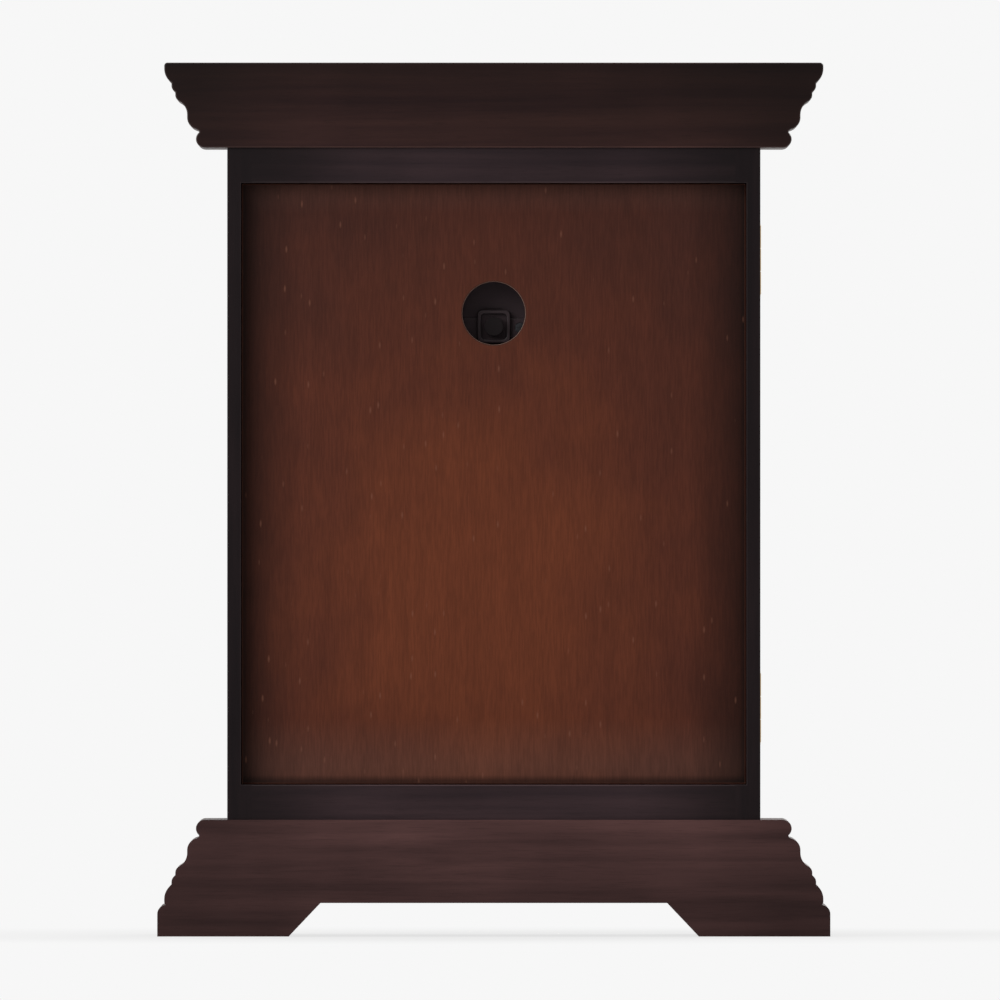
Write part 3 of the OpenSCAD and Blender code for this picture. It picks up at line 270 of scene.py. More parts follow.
def surface(name, constants):
    """A new material, with the values that are the same all over set on its shader."""
    material = bpy.data.materials.new(name)
    material.use_nodes = True
    tree = material.node_tree
    shader = tree.nodes["Principled BSDF"]
    fill(tree, shader, constants)
    return material, tree, shader


def scaled(colour, *shares):
    """A colour with its red, green and blue scaled by a share each, or all by one, and held at white."""
    shares = shares if len(shares) == 3 else shares * 3
    return tuple(min(1.0, c * share) for c, share in zip(colour, shares)) + (1.0,)


def pattern(tree, size, shift=(0.0, 0.0, 0.0)):
    """Object coordinates in cells of a pattern, whose size is in millimetres along each axis or all three."""
    place = add(tree, "ShaderNodeTexCoord")
    sizes = size if isinstance(size, tuple) else (size,) * 3
    return add(tree, "ShaderNodeMapping", {
        "Vector": place.outputs["Object"], "Location": shift, "Scale": tuple(1 / (s * MM) for s in sizes)})


def grain(along, width, reach):
    """The size of a cell that is long along one axis and narrow across it."""
    return tuple(reach if axis == along else width for axis in "XYZ")


# How painted shading changes each part's back, as two spans from a place to the share that scales its colour:
# one by the distance off the middle, one by the height
PAINTED_SHADING = {
    "crown": ((65 * MM, 122 * MM, 1.0, 0.5), (CAD_BOX[1].z - 45 * MM, CAD_BOX[1].z, 1.0, 0.38)),
    "case": ((45 * MM, 105 * MM, 1.0, 0.31), (0.0, CAD_BOX[1].z, 1.37, 0.97)),
    "base": ((65 * MM, 122 * MM, 1.0, 0.64), (12 * MM, 44 * MM, 0.65, 1.07)),
}


def painted_shading_share(tree, tone):
    """Painted shading: the share that scales a back's colour, less towards the clock's ends and its sides,
    and changing with height.
    """
    place = add(tree, "ShaderNodeTexCoord")
    split = add(tree, "ShaderNodeSeparateXYZ", {"Vector": place.outputs["Object"]})
    side = add(tree, "ShaderNodeMath", {0: split.outputs["X"]}, operation="ABSOLUTE")
    sideways, upright = PAINTED_SHADING[tone]
    across = add(tree, "ShaderNodeMapRange", {"Value": side}, span=sideways,
                 interpolation_type="SMOOTHSTEP")
    up = add(tree, "ShaderNodeMapRange", {"Value": split.outputs["Z"]}, span=upright)
    return add(tree, "ShaderNodeMath", {0: across, 1: up}, operation="MULTIPLY")


def stained_hardwood(name, tone, along, shift, gloss=0.2, roughness=0.42, pore=0.68, rubbed=1.0):
    """Hardwood under a dark wiped stain and a satin top coat, with painted shading on the backs.

    Soft bands of deeper and paler stain run along the board, crossed by fine open pores that stay dark.
    Painted shading darkens the backs' ends and sides, and the thin film lets the pores be felt in its sheen.
    An open pore is darker by the share pore, and the last share is how much paler an eased edge is: thin worn
    stain and a painted highlight line."""
    wood = bpy.context.scene.clock_wood
    pale = getattr(wood, tone + "_pale")
    deep = getattr(wood, tone + "_deep")
    # Eased edges take a paler copy of the stain: worn stain and a painted highlight line
    if rubbed != 1.0:
        deep, pale = pale, scaled(pale, rubbed)
    material, tree, shader = surface(name, {"Specular IOR Level": gloss, "IOR": 1.5})
    bands = add(tree, "ShaderNodeTexNoise", {
        "Vector": pattern(tree, grain(along, wood.figure_width / MM, wood.figure_length / MM), shift),
        "Scale": 1.0, "Detail": 4.0, "Roughness": 0.55, "Distortion": 0.35})
    pores = add(tree, "ShaderNodeTexNoise", {
        "Vector": pattern(tree, grain(along, wood.pore_width / MM, wood.pore_length / MM), shift),
        "Scale": 1.0, "Detail": 1.0})
    clouds = add(tree, "ShaderNodeTexNoise", {
        "Vector": pattern(tree, 55, shift), "Scale": 1.0, "Detail": 2.0})
    stain = add(tree, "ShaderNodeValToRGB", {"Fac": bands}, stops=[(0.3, deep), (0.7, pale)])
    open_pore = add(tree, "ShaderNodeMapRange", {"Value": pores}, span=(0.56, 0.7, 1.0, pore))
    wiped = add(tree, "ShaderNodeMapRange", {"Value": clouds}, span=(0.3, 0.7, 0.82, 1.18))
    uptake_and_painted_shading = add(tree, "ShaderNodeMath", {0: open_pore, 1: wiped}, operation="MULTIPLY")
    # Painted shading on the backs: darker towards the ends and the sides, and changing with height
    if tone in PAINTED_SHADING:
        uptake_and_painted_shading = add(tree, "ShaderNodeMath", {0: uptake_and_painted_shading, 1: painted_shading_share(tree, tone)}, operation="MULTIPLY")
    colour = add(tree, "ShaderNodeVectorMath", {0: stain, "Scale": uptake_and_painted_shading}, operation="SCALE")
    sheen = add(tree, "ShaderNodeMapRange", {"Value": clouds},
                span=(0.0, 1.0, roughness - 0.06, roughness + 0.1))
    relief = add(tree, "ShaderNodeBump", {"Height": open_pore, "Strength": 0.35, "Distance": 0.06 * MM})
    waves = add(tree, "ShaderNodeBump", {
        "Height": bands, "Strength": 0.25, "Distance": 0.25 * MM, "Normal": relief})
    fill(tree, shader, {"Base Color": colour, "Roughness": sheen, "Normal": waves})
    return material


def stained_plywood(name):
    """Rotary-cut plywood under a reddish wiped stain with hardly any lacquer.

    Fine upright grain, dull sheen, cloudy uptake of the stain under a painted pool of light that is warmest
    in the lower middle, and a few short pale rays that took up little of it. Painted shade darkens it beside
    the frame and along its foot."""
    wood = bpy.context.scene.clock_wood
    material, tree, shader = surface(name, {"Specular IOR Level": 0.09, "IOR": 1.5})
    low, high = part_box("back_panel")
    wide, tall = high.x - low.x, high.z - low.z
    lines, streaks, clouds = (
        add(tree, "ShaderNodeTexNoise", {
            "Vector": pattern(tree, size, shift), "Scale": 1.0, "Detail": detail})
        for size, shift, detail in (
            ((0.6, 0.6, 7), (0.0, 0.0, 0.0), 2.0),
            ((5, 5, 45), (7.0, 0.0, 3.0), 3.0),
            ((26, 26, 30), (2.0, 0.0, 5.0), 4.0)))
    place = add(tree, "ShaderNodeTexCoord")
    split = add(tree, "ShaderNodeSeparateXYZ", {"Vector": place.outputs["Object"]})
    # The colour deepens in cloudy steps away from a patch in the lower middle: cloudy stain, and a painted
    # pool of light
    light_pool_middle = (0.5 * (low.x + high.x) + 0.03 * wide, low.z + 0.31 * tall)
    light_pool_spread = (0.48 * wide, 0.5 * tall)
    from_light_pool = add(tree, "ShaderNodeMapping", {
        "Vector": place.outputs["Object"],
        "Location": (-light_pool_middle[0] / light_pool_spread[0], 0.0, -light_pool_middle[1] / light_pool_spread[1]),
        "Scale": (1 / light_pool_spread[0], 0.0, 1 / light_pool_spread[1])})
    reach = add(tree, "ShaderNodeVectorMath", {0: from_light_pool}, operation="LENGTH")
    clouds_and_light_pool = add(tree, "ShaderNodeMath", {0: clouds, 1: 0.8, 2: reach}, operation="MULTIPLY_ADD")
    depth = add(tree, "ShaderNodeMapRange", {"Value": clouds_and_light_pool}, span=(0.5, 1.95))
    stain = add(tree, "ShaderNodeValToRGB", {"Fac": depth},
                stops=[(0.0, wood.panel_warm_and_lit), (0.15, wood.panel_warm_and_lit), (0.55, wood.panel_mid),
                       (1.0, wood.panel_deep)])
    # The colour turns paler and greyer near the top and the foot
    off_middle = add(tree, "ShaderNodeMath", {0: split.outputs["Z"], 1: low.z + 0.53 * tall},
                     operation="SUBTRACT")
    far_off = add(tree, "ShaderNodeMath", {0: off_middle}, operation="ABSOLUTE")
    greyed_near_ends = add(tree, "ShaderNodeMapRange", {"Value": far_off}, span=(0.42 * tall, 0.5 * tall, 0.0, 0.28))
    greyed_stain = add(tree, "ShaderNodeMix", {0: greyed_near_ends, MIX_A: stain, MIX_B: wood.panel_grey}, data_type="RGBA")
    # Lines and streaks of grain, then painted shade beside the frame and a painted shadow in the corner
    # beside and under it
    side = add(tree, "ShaderNodeMath", {0: split.outputs["X"]}, operation="ABSOLUTE")
    grain_and_painted_shade = 1.0
    for value, span in (
            (lines, (0.35, 0.65, 0.89, 1.1)),
            (streaks, (0.3, 0.7, 0.93, 1.07)),
            # Painted shade beside the frame's sides, then a narrower painted shadow at their edge
            (side, (high.x - 24 * MM, high.x - 1 * MM, 1.0, 0.34)),
            (side, (high.x - 2.4 * MM, high.x - 0.8 * MM, 1.0, 0.55)),
            # Painted shadow along the foot, under the frame's bottom rail
            (split.outputs["Z"], (low.z + 1.4 * MM, low.z + 3.6 * MM, 0.4, 1.0))):
        share = add(tree, "ShaderNodeMapRange", {"Value": value}, span=span)
        grain_and_painted_shade = add(tree, "ShaderNodeMath", {0: grain_and_painted_shade, 1: share}, operation="MULTIPLY")
    lined_and_shaded = add(tree, "ShaderNodeVectorMath", {0: greyed_stain, "Scale": grain_and_painted_shade}, operation="SCALE")
    # A cell in ten holds a ray at one side of the clock, and a cell in two at the other
    rays = add(tree, "ShaderNodeTexVoronoi", {
        "Vector": pattern(tree, (3.2, 3.2, 10.5), (0.4, 0.0, 0.7)), "Scale": 1.0}, feature="F1")
    near = add(tree, "ShaderNodeMapRange", {"Value": rays}, span=(0.05, 0.17, 0.36, 0.0))
    chosen = add(tree, "ShaderNodeSeparateColor", {"Color": rays.outputs["Color"]})
    scarce = add(tree, "ShaderNodeMapRange", {"Value": split.outputs["X"]}, span=(low.x, high.x, 0.9, 0.5))
    few = add(tree, "ShaderNodeMath", {0: chosen.outputs["Red"], 1: scarce}, operation="GREATER_THAN")
    flecked = add(tree, "ShaderNodeMath", {0: near, 1: few}, operation="MULTIPLY")
    colour = add(tree, "ShaderNodeMix", {0: flecked, MIX_A: lined_and_shaded, MIX_B: wood.panel_fleck},
                 data_type="RGBA")
    relief = add(tree, "ShaderNodeBump", {"Height": lines, "Strength": 0.3, "Distance": 0.08 * MM})
    dull = add(tree, "ShaderNodeMapRange", {"Value": clouds}, span=(0.0, 1.0, 0.5, 0.68))
    fill(tree, shader, {"Base Color": colour, "Roughness": dull, "Normal": relief})
    return material


def cut_plies(name, deep, pale):
    """Sawn edge of the plywood: thin plies of turned grain, lightly stained, dry and rough."""
    material, tree, shader = surface(name, {"Specular IOR Level": 0.1, "Roughness": 0.75})
    plies = add(tree, "ShaderNodeTexWave", {
        "Vector": pattern(tree, (20, 0.8, 20)), "Scale": 0.5, "Distortion": 0.5, "Detail": 2.0},
        bands_direction="Y")
    colour = add(tree, "ShaderNodeMix", {0: plies.outputs["Fac"], MIX_A: deep, MIX_B: pale},
                 data_type="RGBA")
    fill(tree, shader, {"Base Color": colour})
    return material


def bare_pine(name, along):
    """Planed pine without stain: pale early wood, thin darker late wood, dry and matt."""
    wood = bpy.context.scene.clock_wood
    material, tree, shader = surface(name, {"Specular IOR Level": 0.3, "Roughness": 0.6})
    rings = add(tree, "ShaderNodeTexNoise", {
        "Vector": pattern(tree, grain(along, 3, 120)), "Scale": 1.0, "Detail": 2.0, "Distortion": 0.3})
    fibres = add(tree, "ShaderNodeTexNoise", {"Vector": pattern(tree, grain(along, 0.5, 14)), "Scale": 1.0})
    colour = add(tree, "ShaderNodeValToRGB", {"Fac": rings},
                 stops=[(0.35, wood.bare_pale), (0.66, wood.bare_deep)])
    relief = add(tree, "ShaderNodeBump", {"Height": fibres, "Strength": 0.3, "Distance": 0.08 * MM})
    fill(tree, shader, {"Base Color": colour, "Normal": relief})
    return material


def float_glass(name):
    """Drawn window glass, 2 mm: clear, faintly green through its edge, and no shadow of its own.

    Its index is lowered from 1.5 to calm the pale studio's reflection over the dial."""
    material, tree, shader = surface(name, {
        "Base Color": srgb("FDFEFD"), "Roughness": 0.0, "IOR": 1.15, "Transmission Weight": 1.0})
    path = add(tree, "ShaderNodeLightPath")
    clear = add(tree, "ShaderNodeBsdfTransparent", {"Color": srgb("FDFEFD")})
    lit = add(tree, "ShaderNodeMixShader", {0: path.outputs["Is Shadow Ray"], 1: shader, 2: clear})
    bounced = add(tree, "ShaderNodeMixShader", {0: path.outputs["Is Diffuse Ray"], 1: lit, 2: clear})
    fill(tree, tree.nodes["Material Output"], {"Surface": bounced})
    return material


def worn_metal(name, colour, roughness, cell):
    """Metal with the marks of its making: fine scratches in its sheen and a thin uneven tarnish.

    The marks' cell is in millimetres."""
    material, tree, shader = surface(name, {"Metallic": 1.0})
    marks = add(tree, "ShaderNodeTexNoise", {"Vector": pattern(tree, cell), "Scale": 1.0, "Detail": 3.0})
    clouds = add(tree, "ShaderNodeTexNoise", {"Vector": pattern(tree, 14), "Scale": 1.0, "Detail": 3.0})
    dulled = add(tree, "ShaderNodeMapRange", {"Value": clouds}, span=(0.45, 0.75, 0.0, 0.25))
    toned = add(tree, "ShaderNodeMix", {0: dulled, MIX_A: colour, MIX_B: scaled(colour, 0.75)},
                data_type="RGBA")
    sheen = add(tree, "ShaderNodeMapRange", {"Value": marks},
                span=(0.3, 0.7, 0.7 * roughness, 1.4 * roughness))
    relief = add(tree, "ShaderNodeBump", {"Height": marks, "Strength": 0.08, "Distance": 0.02 * MM})
    fill(tree, shader, {"Base Color": toned, "Roughness": sheen, "Normal": relief})
    return material


def spun_brass(name, axis_at):
    """Brass turned on a lathe and polished: a bright yellow mirror, with the last cut's fine rings."""
    brass = bpy.context.scene.clock_metal.brass
    material, tree, shader = surface(name, {"Metallic": 1.0})
    place = add(tree, "ShaderNodeTexCoord")
    centred = add(tree, "ShaderNodeMapping", {
        "Vector": place.outputs["Object"], "Location": (-axis_at[0], 0.0, -axis_at[1]),
        "Scale": (1.0, 0.0, 1.0)})
    radius = add(tree, "ShaderNodeVectorMath", {0: centred}, operation="LENGTH")
    # Tool marks are 0.05 mm apart on the real piece, and drawn at 0.35 mm so that they show
    rings = add(tree, "ShaderNodeTexNoise", {"W": radius, "Scale": 1 / (0.35 * MM), "Detail": 2.0},
                noise_dimensions="1D")
    clouds = add(tree, "ShaderNodeTexNoise", {"Vector": pattern(tree, 11), "Scale": 1.0, "Detail": 3.0})
    toned = add(tree, "ShaderNodeValToRGB", {"Fac": clouds},
                stops=[(0.5, brass), (0.85, scaled(brass, 0.87, 0.78, 0.66))])
    sheen = add(tree, "ShaderNodeMapRange", {"Value": rings}, span=(0.3, 0.7, 0.12, 0.26))
    relief = add(tree, "ShaderNodeBump", {"Height": rings, "Strength": 0.12, "Distance": 0.03 * MM})
    fill(tree, shader, {"Base Color": toned, "Roughness": sheen, "Normal": relief})
    return material


def drifting(name, gloss, tones, broad, fine, roughness, relief):
    """A finish whose tone and sheen drift over a broad pattern, and whose relief follows a fine one.

    broad and fine are each a cell in millimetres and its detail, roughness the least and the most, and
    relief the strength and the depth in millimetres."""
    material, tree, shader = surface(name, {"IOR": 1.5, "Specular IOR Level": gloss})
    drift, grit = (
        add(tree, "ShaderNodeTexNoise", {"Vector": pattern(tree, cell), "Scale": 1.0, "Detail": detail})
        for cell, detail in (broad, fine))
    toned = add(tree, "ShaderNodeMix", {0: drift, MIX_A: tones[0], MIX_B: tones[1]}, data_type="RGBA")
    sheen = add(tree, "ShaderNodeMapRange", {"Value": drift}, span=(0.0, 1.0, *roughness))
    bumps = add(tree, "ShaderNodeBump", {
        "Height": grit, "Strength": relief[0], "Distance": relief[1] * MM})
    fill(tree, shader, {"Base Color": toned, "Roughness": sheen, "Normal": bumps})
    return material


def moulded_plastic(name, colour, roughness, gloss=0.4, grit=0.35):
    """Injection-moulded plastic from a spark-eroded tool: an even fine grit that softens its sheen.

    The grit is in millimetres. Rubber, paint and ink take the same finish with other values."""
    return drifting(name, gloss, (colour, scaled(colour, 1.25)), (18, 2.0), (grit, 2.0),
                    (roughness - 0.05, roughness + 0.08), (0.3, 0.04))


def dial_enamel(name, colour):
    """Stoved enamel on a metal plate: a warm white glaze with a soft gloss and a little orange peel."""
    return drifting(name, 0.4, (colour, scaled(colour, 0.97, 0.94, 0.86)), (26, 4.0), (0.9, 2.0),
                    (0.26, 0.4), (0.12, 0.03))


def wound_wire(name, colour, along):
    """Enamelled copper wire wound in close layers: fine parallel turns with a lacquered glint."""
    material, tree, shader = surface(name, {"Metallic": 0.7, "Roughness": 0.34})
    # Wire of 0.1 mm is drawn at 0.3 mm so that its turns show
    turns = add(tree, "ShaderNodeTexWave", {
        "Vector": pattern(tree, 0.3), "Scale": 0.5, "Distortion": 0.6}, bands_direction=along)
    toned = add(tree, "ShaderNodeMix", {
        0: turns.outputs["Fac"], MIX_A: scaled(colour, 0.45), MIX_B: colour}, data_type="RGBA")
    relief = add(tree, "ShaderNodeBump", {
        "Height": turns.outputs["Fac"], "Strength": 0.6, "Distance": 0.1 * MM})
    fill(tree, shader, {"Base Color": toned, "Normal": relief})
    return material


def circuit_laminate(name, colour):
    """Glass-fibre laminate under green resist: the copper tracks show through as paler lanes."""
    material, tree, shader = surface(name, {"Roughness": 0.35, "Specular IOR Level": 0.5})
    lanes = add(tree, "ShaderNodeTexBrick", {
        "Vector": pattern(tree, 1), "Scale": 0.3, "Mortar Size": 0.05, "Color1": colour,
        "Color2": scaled(colour, 0.8), "Mortar": scaled(colour, 1.7)})
    weave = add(tree, "ShaderNodeTexNoise", {"Vector": pattern(tree, 0.3), "Scale": 1.0})
    relief = add(tree, "ShaderNodeBump", {"Height": weave, "Strength": 0.2, "Distance": 0.03 * MM})
    fill(tree, shader, {"Base Color": lanes, "Normal": relief})
    return material


def battery_film(name, jacket, band, node):
    """Shrink film over a steel can: plain colour with a metallic band at one end, and bare metal ends."""
    material, tree, shader = surface(name, {"Specular IOR Level": 0.5})
    low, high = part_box(node)
    place = add(tree, "ShaderNodeTexCoord")
    split = add(tree, "ShaderNodeSeparateXYZ", {"Vector": place.outputs["Object"]})
    along = add(tree, "ShaderNodeMapRange", {"Value": split.outputs["X"]}, span=(low.x, high.x))
    steel = srgb("B8BABC")
    colour, bright = (
        add(tree, "ShaderNodeValToRGB", {"Fac": along}, stops=stops) for stops in (
            [(0.0, steel), (0.02, jacket), (0.7, band), (0.95, steel)],
            [(0.0, WHITE), (0.02, BLACK), (0.7, WHITE)]))
    for ramp in (colour, bright):
        ramp.color_ramp.interpolation = "CONSTANT"
    scuffs = add(tree, "ShaderNodeTexNoise", {
        "Vector": pattern(tree, (4, 1, 1)), "Scale": 1.0, "Detail": 3.0})
    sheen = add(tree, "ShaderNodeMapRange", {"Value": scuffs}, span=(0.0, 1.0, 0.2, 0.42))
    fill(tree, shader, {"Base Color": colour, "Metallic": bright, "Roughness": sheen})
    return material


def welded(node):
    """A bmesh of a CAD node, with its loose triangles welded and its flat faces joined."""
    source = NODES[node].data
    bm = bmesh.new()
    corners = [bm.verts.new(vertex.co) for vertex in source.vertices]
    for polygon in source.polygons:
        bm.faces.new([corners[i] for i in polygon.vertices])
    bmesh.ops.remove_doubles(bm, verts=bm.verts, dist=WELD)
    bmesh.ops.dissolve_limit(bm, angle_limit=FLAT, verts=bm.verts, edges=bm.edges)
    bm.normal_update()
    return bm


def middle_of(node):
    """The middle of a CAD node: its place across, and its height."""
    low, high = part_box(node)
    return (low.x + high.x) / 2, (low.z + high.z) / 2


def surroundings(node, boards):
    """Search trees of the boards round one of them."""
    trees = []
    for other in boards:
        if other != node:
            mesh = NODES[other].data
            trees.append(BVHTree.FromPolygons([v.co for v in mesh.vertices],
                                              [p.vertices for p in mesh.polygons]))
    return trees


def round_off(bm, edges, width):
    """Rounds the given edges. The rounding takes slot two."""
    bmesh.ops.bevel(bm, geom=edges, offset=width, offset_type="OFFSET", segments=2, profile=0.5,
                    affect="EDGES", clamp_overlap=True, material=1)
    bm.normal_update()


def ease(bm, width, neighbours=()):
    """Rounds the outward arrises, apart from mitres and glued joints."""
    arrises = []
    for edge in bm.edges:
        if not edge.is_manifold or not edge.is_convex:
            continue
        if not ARRIS_TURN < edge.calc_face_angle() < MITRE_TURN:
            continue
        middle = (edge.verts[0].co + edge.verts[1].co) / 2
        if any(tree.find_nearest(middle, JOINT)[0] is not None for tree in neighbours):
            continue
        arrises.append(edge)
    round_off(bm, arrises, width)


def settled(piece, body):
    """Applies a piece's modifiers to its mesh, and fits it into the frame."""
    graph = bpy.context.evaluated_depsgraph_get()
    mesh = bpy.data.meshes.new_from_object(piece.evaluated_get(graph))
    piece.modifiers.clear()
    piece.data = mesh
    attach(piece, body)


def placed(name, data):
    """An object for a mesh, a camera or a lamp, put into the scene."""
    thing = bpy.data.objects.new(name, data)
    bpy.context.scene.collection.objects.link(thing)
    return thing


def mesh_of(bm, name, materials):
    """Turns a bmesh to a mesh with its materials."""
    mesh = bpy.data.meshes.new(name)
    bm.to_mesh(mesh)
    bm.free()
    for material in materials:
        mesh.materials.append(material)
    return mesh


def piece_of(bm, name, materials, body):
    """Makes a piece from a bmesh, with its curves shaded smooth."""
    mesh = mesh_of(bm, name, materials)
    mesh.shade_smooth()
    mesh.set_sharp_from_angle(angle=CURVE_TURN)
    piece = placed(name, mesh)
    piece.modifiers.new("even shading", "WEIGHTED_NORMAL").keep_sharp = True
    settled(piece, body)
    return piece


def added(bm, name, material):
    """Makes a piece of the case that stands for no CAD node, with its faces turned outward."""
    bmesh.ops.recalc_face_normals(bm, faces=bm.faces)
    piece_of(bm, name, [material], "case")


def stand_in(bm, node, finish, materials):
    """Makes the piece that takes a CAD node's place."""
    piece = piece_of(bm, node + "_" + finish, materials, BODY_OF[node])
    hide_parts(node)


def finished(node, finish, *materials, smooth=False):
    """Makes a CAD node's stand-in, with its edges rounded where its finish has a rounding, unless it is
    turned in one smooth form.
    """
    bm = welded(node)
    if finish in ROUNDED and not smooth:
        ease(bm, ROUNDED[finish])
    if len(materials) == 1:
        for face in bm.faces:
            face.material_index = 0
    stand_in(bm, node, finish, materials)


def coat(material, *nodes):
    """Gives CAD nodes that stay as they are a better material."""
    for node in nodes:
        mesh = NODES[node].data
        mesh.materials.clear()
        mesh.materials.append(material)


# The wooden boards, and the axis that the grain of each runs along
BOARDS = {
    "crown_front": "X", "crown_back": "X", "crown_panel": "X", "crown_left": "Y", "crown_right": "Y",
    "base_front": "X", "base_back": "X", "base_deck": "X", "base_left": "Y", "base_right": "Y",
    "case_top": "X", "case_bottom": "X", "left_side": "Z", "right_side": "Z",
    "door_top_rail": "X", "door_bottom_rail": "X", "door_hinge_stile": "Z", "door_knob_stile": "Z",
    "glazing_beads": "Z", "dial_board": "Z",
}
# The stain on the faces that look to the wall, which got no top coat; the crown's is a darker copy, painted
# shade, and the base's a paler copy, painted light
WALL_STAIN = {"crown_back": "crown", "base_back": "base", "left_side": "case", "right_side": "case",
              "case_top": "case", "case_bottom": "case"}
# How far each board's grain is shifted from the last board's, in cells of the pattern
GRAIN_SHIFT = (3.1, 1.7, 2.3)
# How much paler each stain is on the eased edges: worn stain, and a painted highlight line
ARRIS_WEAR_AND_HIGHLIGHT = {"front": 1.6, "crown": 1.7, "case": 1.7, "base": 2.3}


def worn_and_highlit_arris(tone):
    """The eased edges of one tone: the stain is worn thin, and painted paler still as a highlight line."""
    name = "rubbed_" + tone
    if name in bpy.data.materials:
        return bpy.data.materials[name]
    return stained_hardwood(name, tone, "X", (0.0, 0.0, 0.0), roughness=0.36, rubbed=ARRIS_WEAR_AND_HIGHLIGHT[tone])


def dress_boards(nodes):
    """Makes the wooden boards of a group, each with its own run of grain, and bare of gloss behind."""
    for node in nodes:
        along = BOARDS[node]
        behind = WALL_STAIN.get(node)
        shift = tuple(list(BOARDS).index(node) * cells for cells in GRAIN_SHIFT)
        same_body = [other for other in BOARDS if BODY_OF[other] == BODY_OF[node]]
        materials = [stained_hardwood("stained_" + node, "front", along, shift),
                     worn_and_highlit_arris(behind or "front")]
        bm = welded(node)
        ease(bm, bpy.context.scene.clock_wood.arris, surroundings(node, same_body))
        if behind:
            materials.append(stained_hardwood("wall_face_" + node, behind, along, shift, gloss=0.08,
                                              pore=0.86))
            for face in bm.faces:
                if face.material_index == 0 and face.normal.y > FACING:
                    face.material_index = 2
        stand_in(bm, node, "wood", materials)


def letter_i(height):
    """Outline of a capital I with flat serifs, in millimetres round its middle."""
    stem, foot, lip = 0.75, 1.3, 0.35
    right = [(foot, 0), (foot, lip), (stem, lip), (stem, height - lip), (foot, height - lip), (foot, height)]
    return right + [(-x, z) for x, z in reversed(right)]


def crossing(a, b, top, run):
    """Where two edges cross, each given by its place across at the top and at the foot."""
    share = (b[0] - a[0]) / ((a[1] - a[0]) - (b[1] - b[0]))
    return a[0] + (a[1] - a[0]) * share, top - run * share


def letter_v(height):
    """Outline of a capital V: a thick left stroke, a thin right one and flat serifs."""
    lip, tip = 0.35, 0.25
    top = height - lip
    thick, thin = (-3.05, -1.35), (2.05, 2.55)
    lean_in = -tip - thick[0]
    lean_out = tip - thin[1]
    inner = crossing((thick[1], thick[1] + lean_in), (thin[0], thin[0] + lean_out), top, top)
    return [(-tip, 0), (tip, 0), (thin[1], top), (3.2, top), (3.2, height), (1.3, height), (1.3, top),
            (thin[0], top), inner, (thick[1], top), (-0.8, top), (-0.8, height), (-3.7, height),
            (-3.7, top), (thick[0], top)]


def letter_x(height):
    """Outline of a capital X: a thick stroke down to the right, a thin one down to the left."""
    lip = 0.35
    top, run = height - lip, height - 2 * lip
    thick_left, thick_right = (-2.9, 1.2), (-1.2, 2.9)
    thin_left, thin_right = (2.0, -2.5), (2.5, -2.0)
    return [(-3.2, 0), (-1.3, 0), (-1.3, lip), (thin_right[1], lip),
            crossing(thick_left, thin_right, top, run), (thick_left[1], lip), (0.5, lip), (0.5, 0),
            (3.6, 0), (3.6, lip), (thick_right[1], lip), crossing(thick_right, thin_right, top, run),
            (thin_right[0], top), (3.2, top), (3.2, height), (1.3, height), (1.3, top),
            (thin_left[0], top), crossing(thick_right, thin_left, top, run), (thick_right[0], top),
            (-0.5, top), (-0.5, height), (-3.6, height), (-3.6, top), (thick_left[0], top),
            crossing(thick_left, thin_left, top, run), (thin_left[1], lip), (-3.2, lip)]


LETTERS = {"I": letter_i, "V": letter_v, "X": letter_x}
HOURS = ("XII", "I", "II", "III", "IIII", "V", "VI", "VII", "VIII", "IX", "X", "XI")


def prism(bm, outline, front, back):
    """Adds a flat-topped solid over an outline of (x, z) points, from its front to its back plane."""
    near = [bm.verts.new((x, front, z)) for x, z in outline]
    far = [bm.verts.new((x, back, z)) for x, z in outline]
    bm.faces.new(near)
    bm.faces.new(list(reversed(far)))
    for i, corner in enumerate(near):
        j = (i + 1) % len(near)
        bm.faces.new((corner, far[i], far[j], near[j]))


def ring(bm, radius, width, centre, front, back):
    """Adds a flat ring round the hands' axis."""
    inner, outer = radius - width / 2, radius + width / 2
    turns = [2 * math.pi * k / RING_STEPS for k in range(RING_STEPS)]
    loops = [[bm.verts.new((r * math.sin(t), y, centre + r * math.cos(t))) for t in turns]
             for r, y in ((inner, front), (outer, front), (outer, back), (inner, back))]
    for a, loop in enumerate(loops):
        following = loops[(a + 1) % len(loops)]
        for k in range(RING_STEPS):
            m = (k + 1) % RING_STEPS
            bm.faces.new((loop[k], loop[m], following[m], following[k]))


def numerals(bm, dial, centre, front, back):
    """Sets the twelve hours round the dial, each with its foot towards the middle."""
    height = dial.numeral / MM
    for hour, word in enumerate(HOURS):
        outlines = [LETTERS[letter](height) for letter in word]
        widths = [max(x for x, _ in o) - min(x for x, _ in o) for o in outlines]
        start = -(sum(widths) + LETTER_GAP * (len(word) - 1)) / 2
        turn = 2 * math.pi * hour / len(HOURS)
        for outline, width in zip(outlines, widths):
            shift = start - min(x for x, _ in outline)
            start += width + LETTER_GAP
            corners = []
            for x, z in outline:
                across, out = (x + shift) * MM, z * MM + dial.numeral_radius
                corners.append((across * math.cos(turn) + out * math.sin(turn),
                                centre + out * math.cos(turn) - across * math.sin(turn)))
            prism(bm, corners, front, back)


def new_tree(name, inputs):
    """A Geometry Nodes tree, the sockets of its named inputs, and its last node."""
    tree = bpy.data.node_groups.new(name, "GeometryNodeTree")
    tree.interface.new_socket(name="Geometry", in_out="INPUT", socket_type="NodeSocketGeometry")
    for title, kind in inputs.items():
        tree.interface.new_socket(name=title, in_out="INPUT", socket_type="NodeSocket" + kind)
    tree.interface.new_socket(name="Geometry", in_out="OUTPUT", socket_type="NodeSocketGeometry")
    return tree, tree.nodes.new("NodeGroupInput").outputs, tree.nodes.new("NodeGroupOutput")


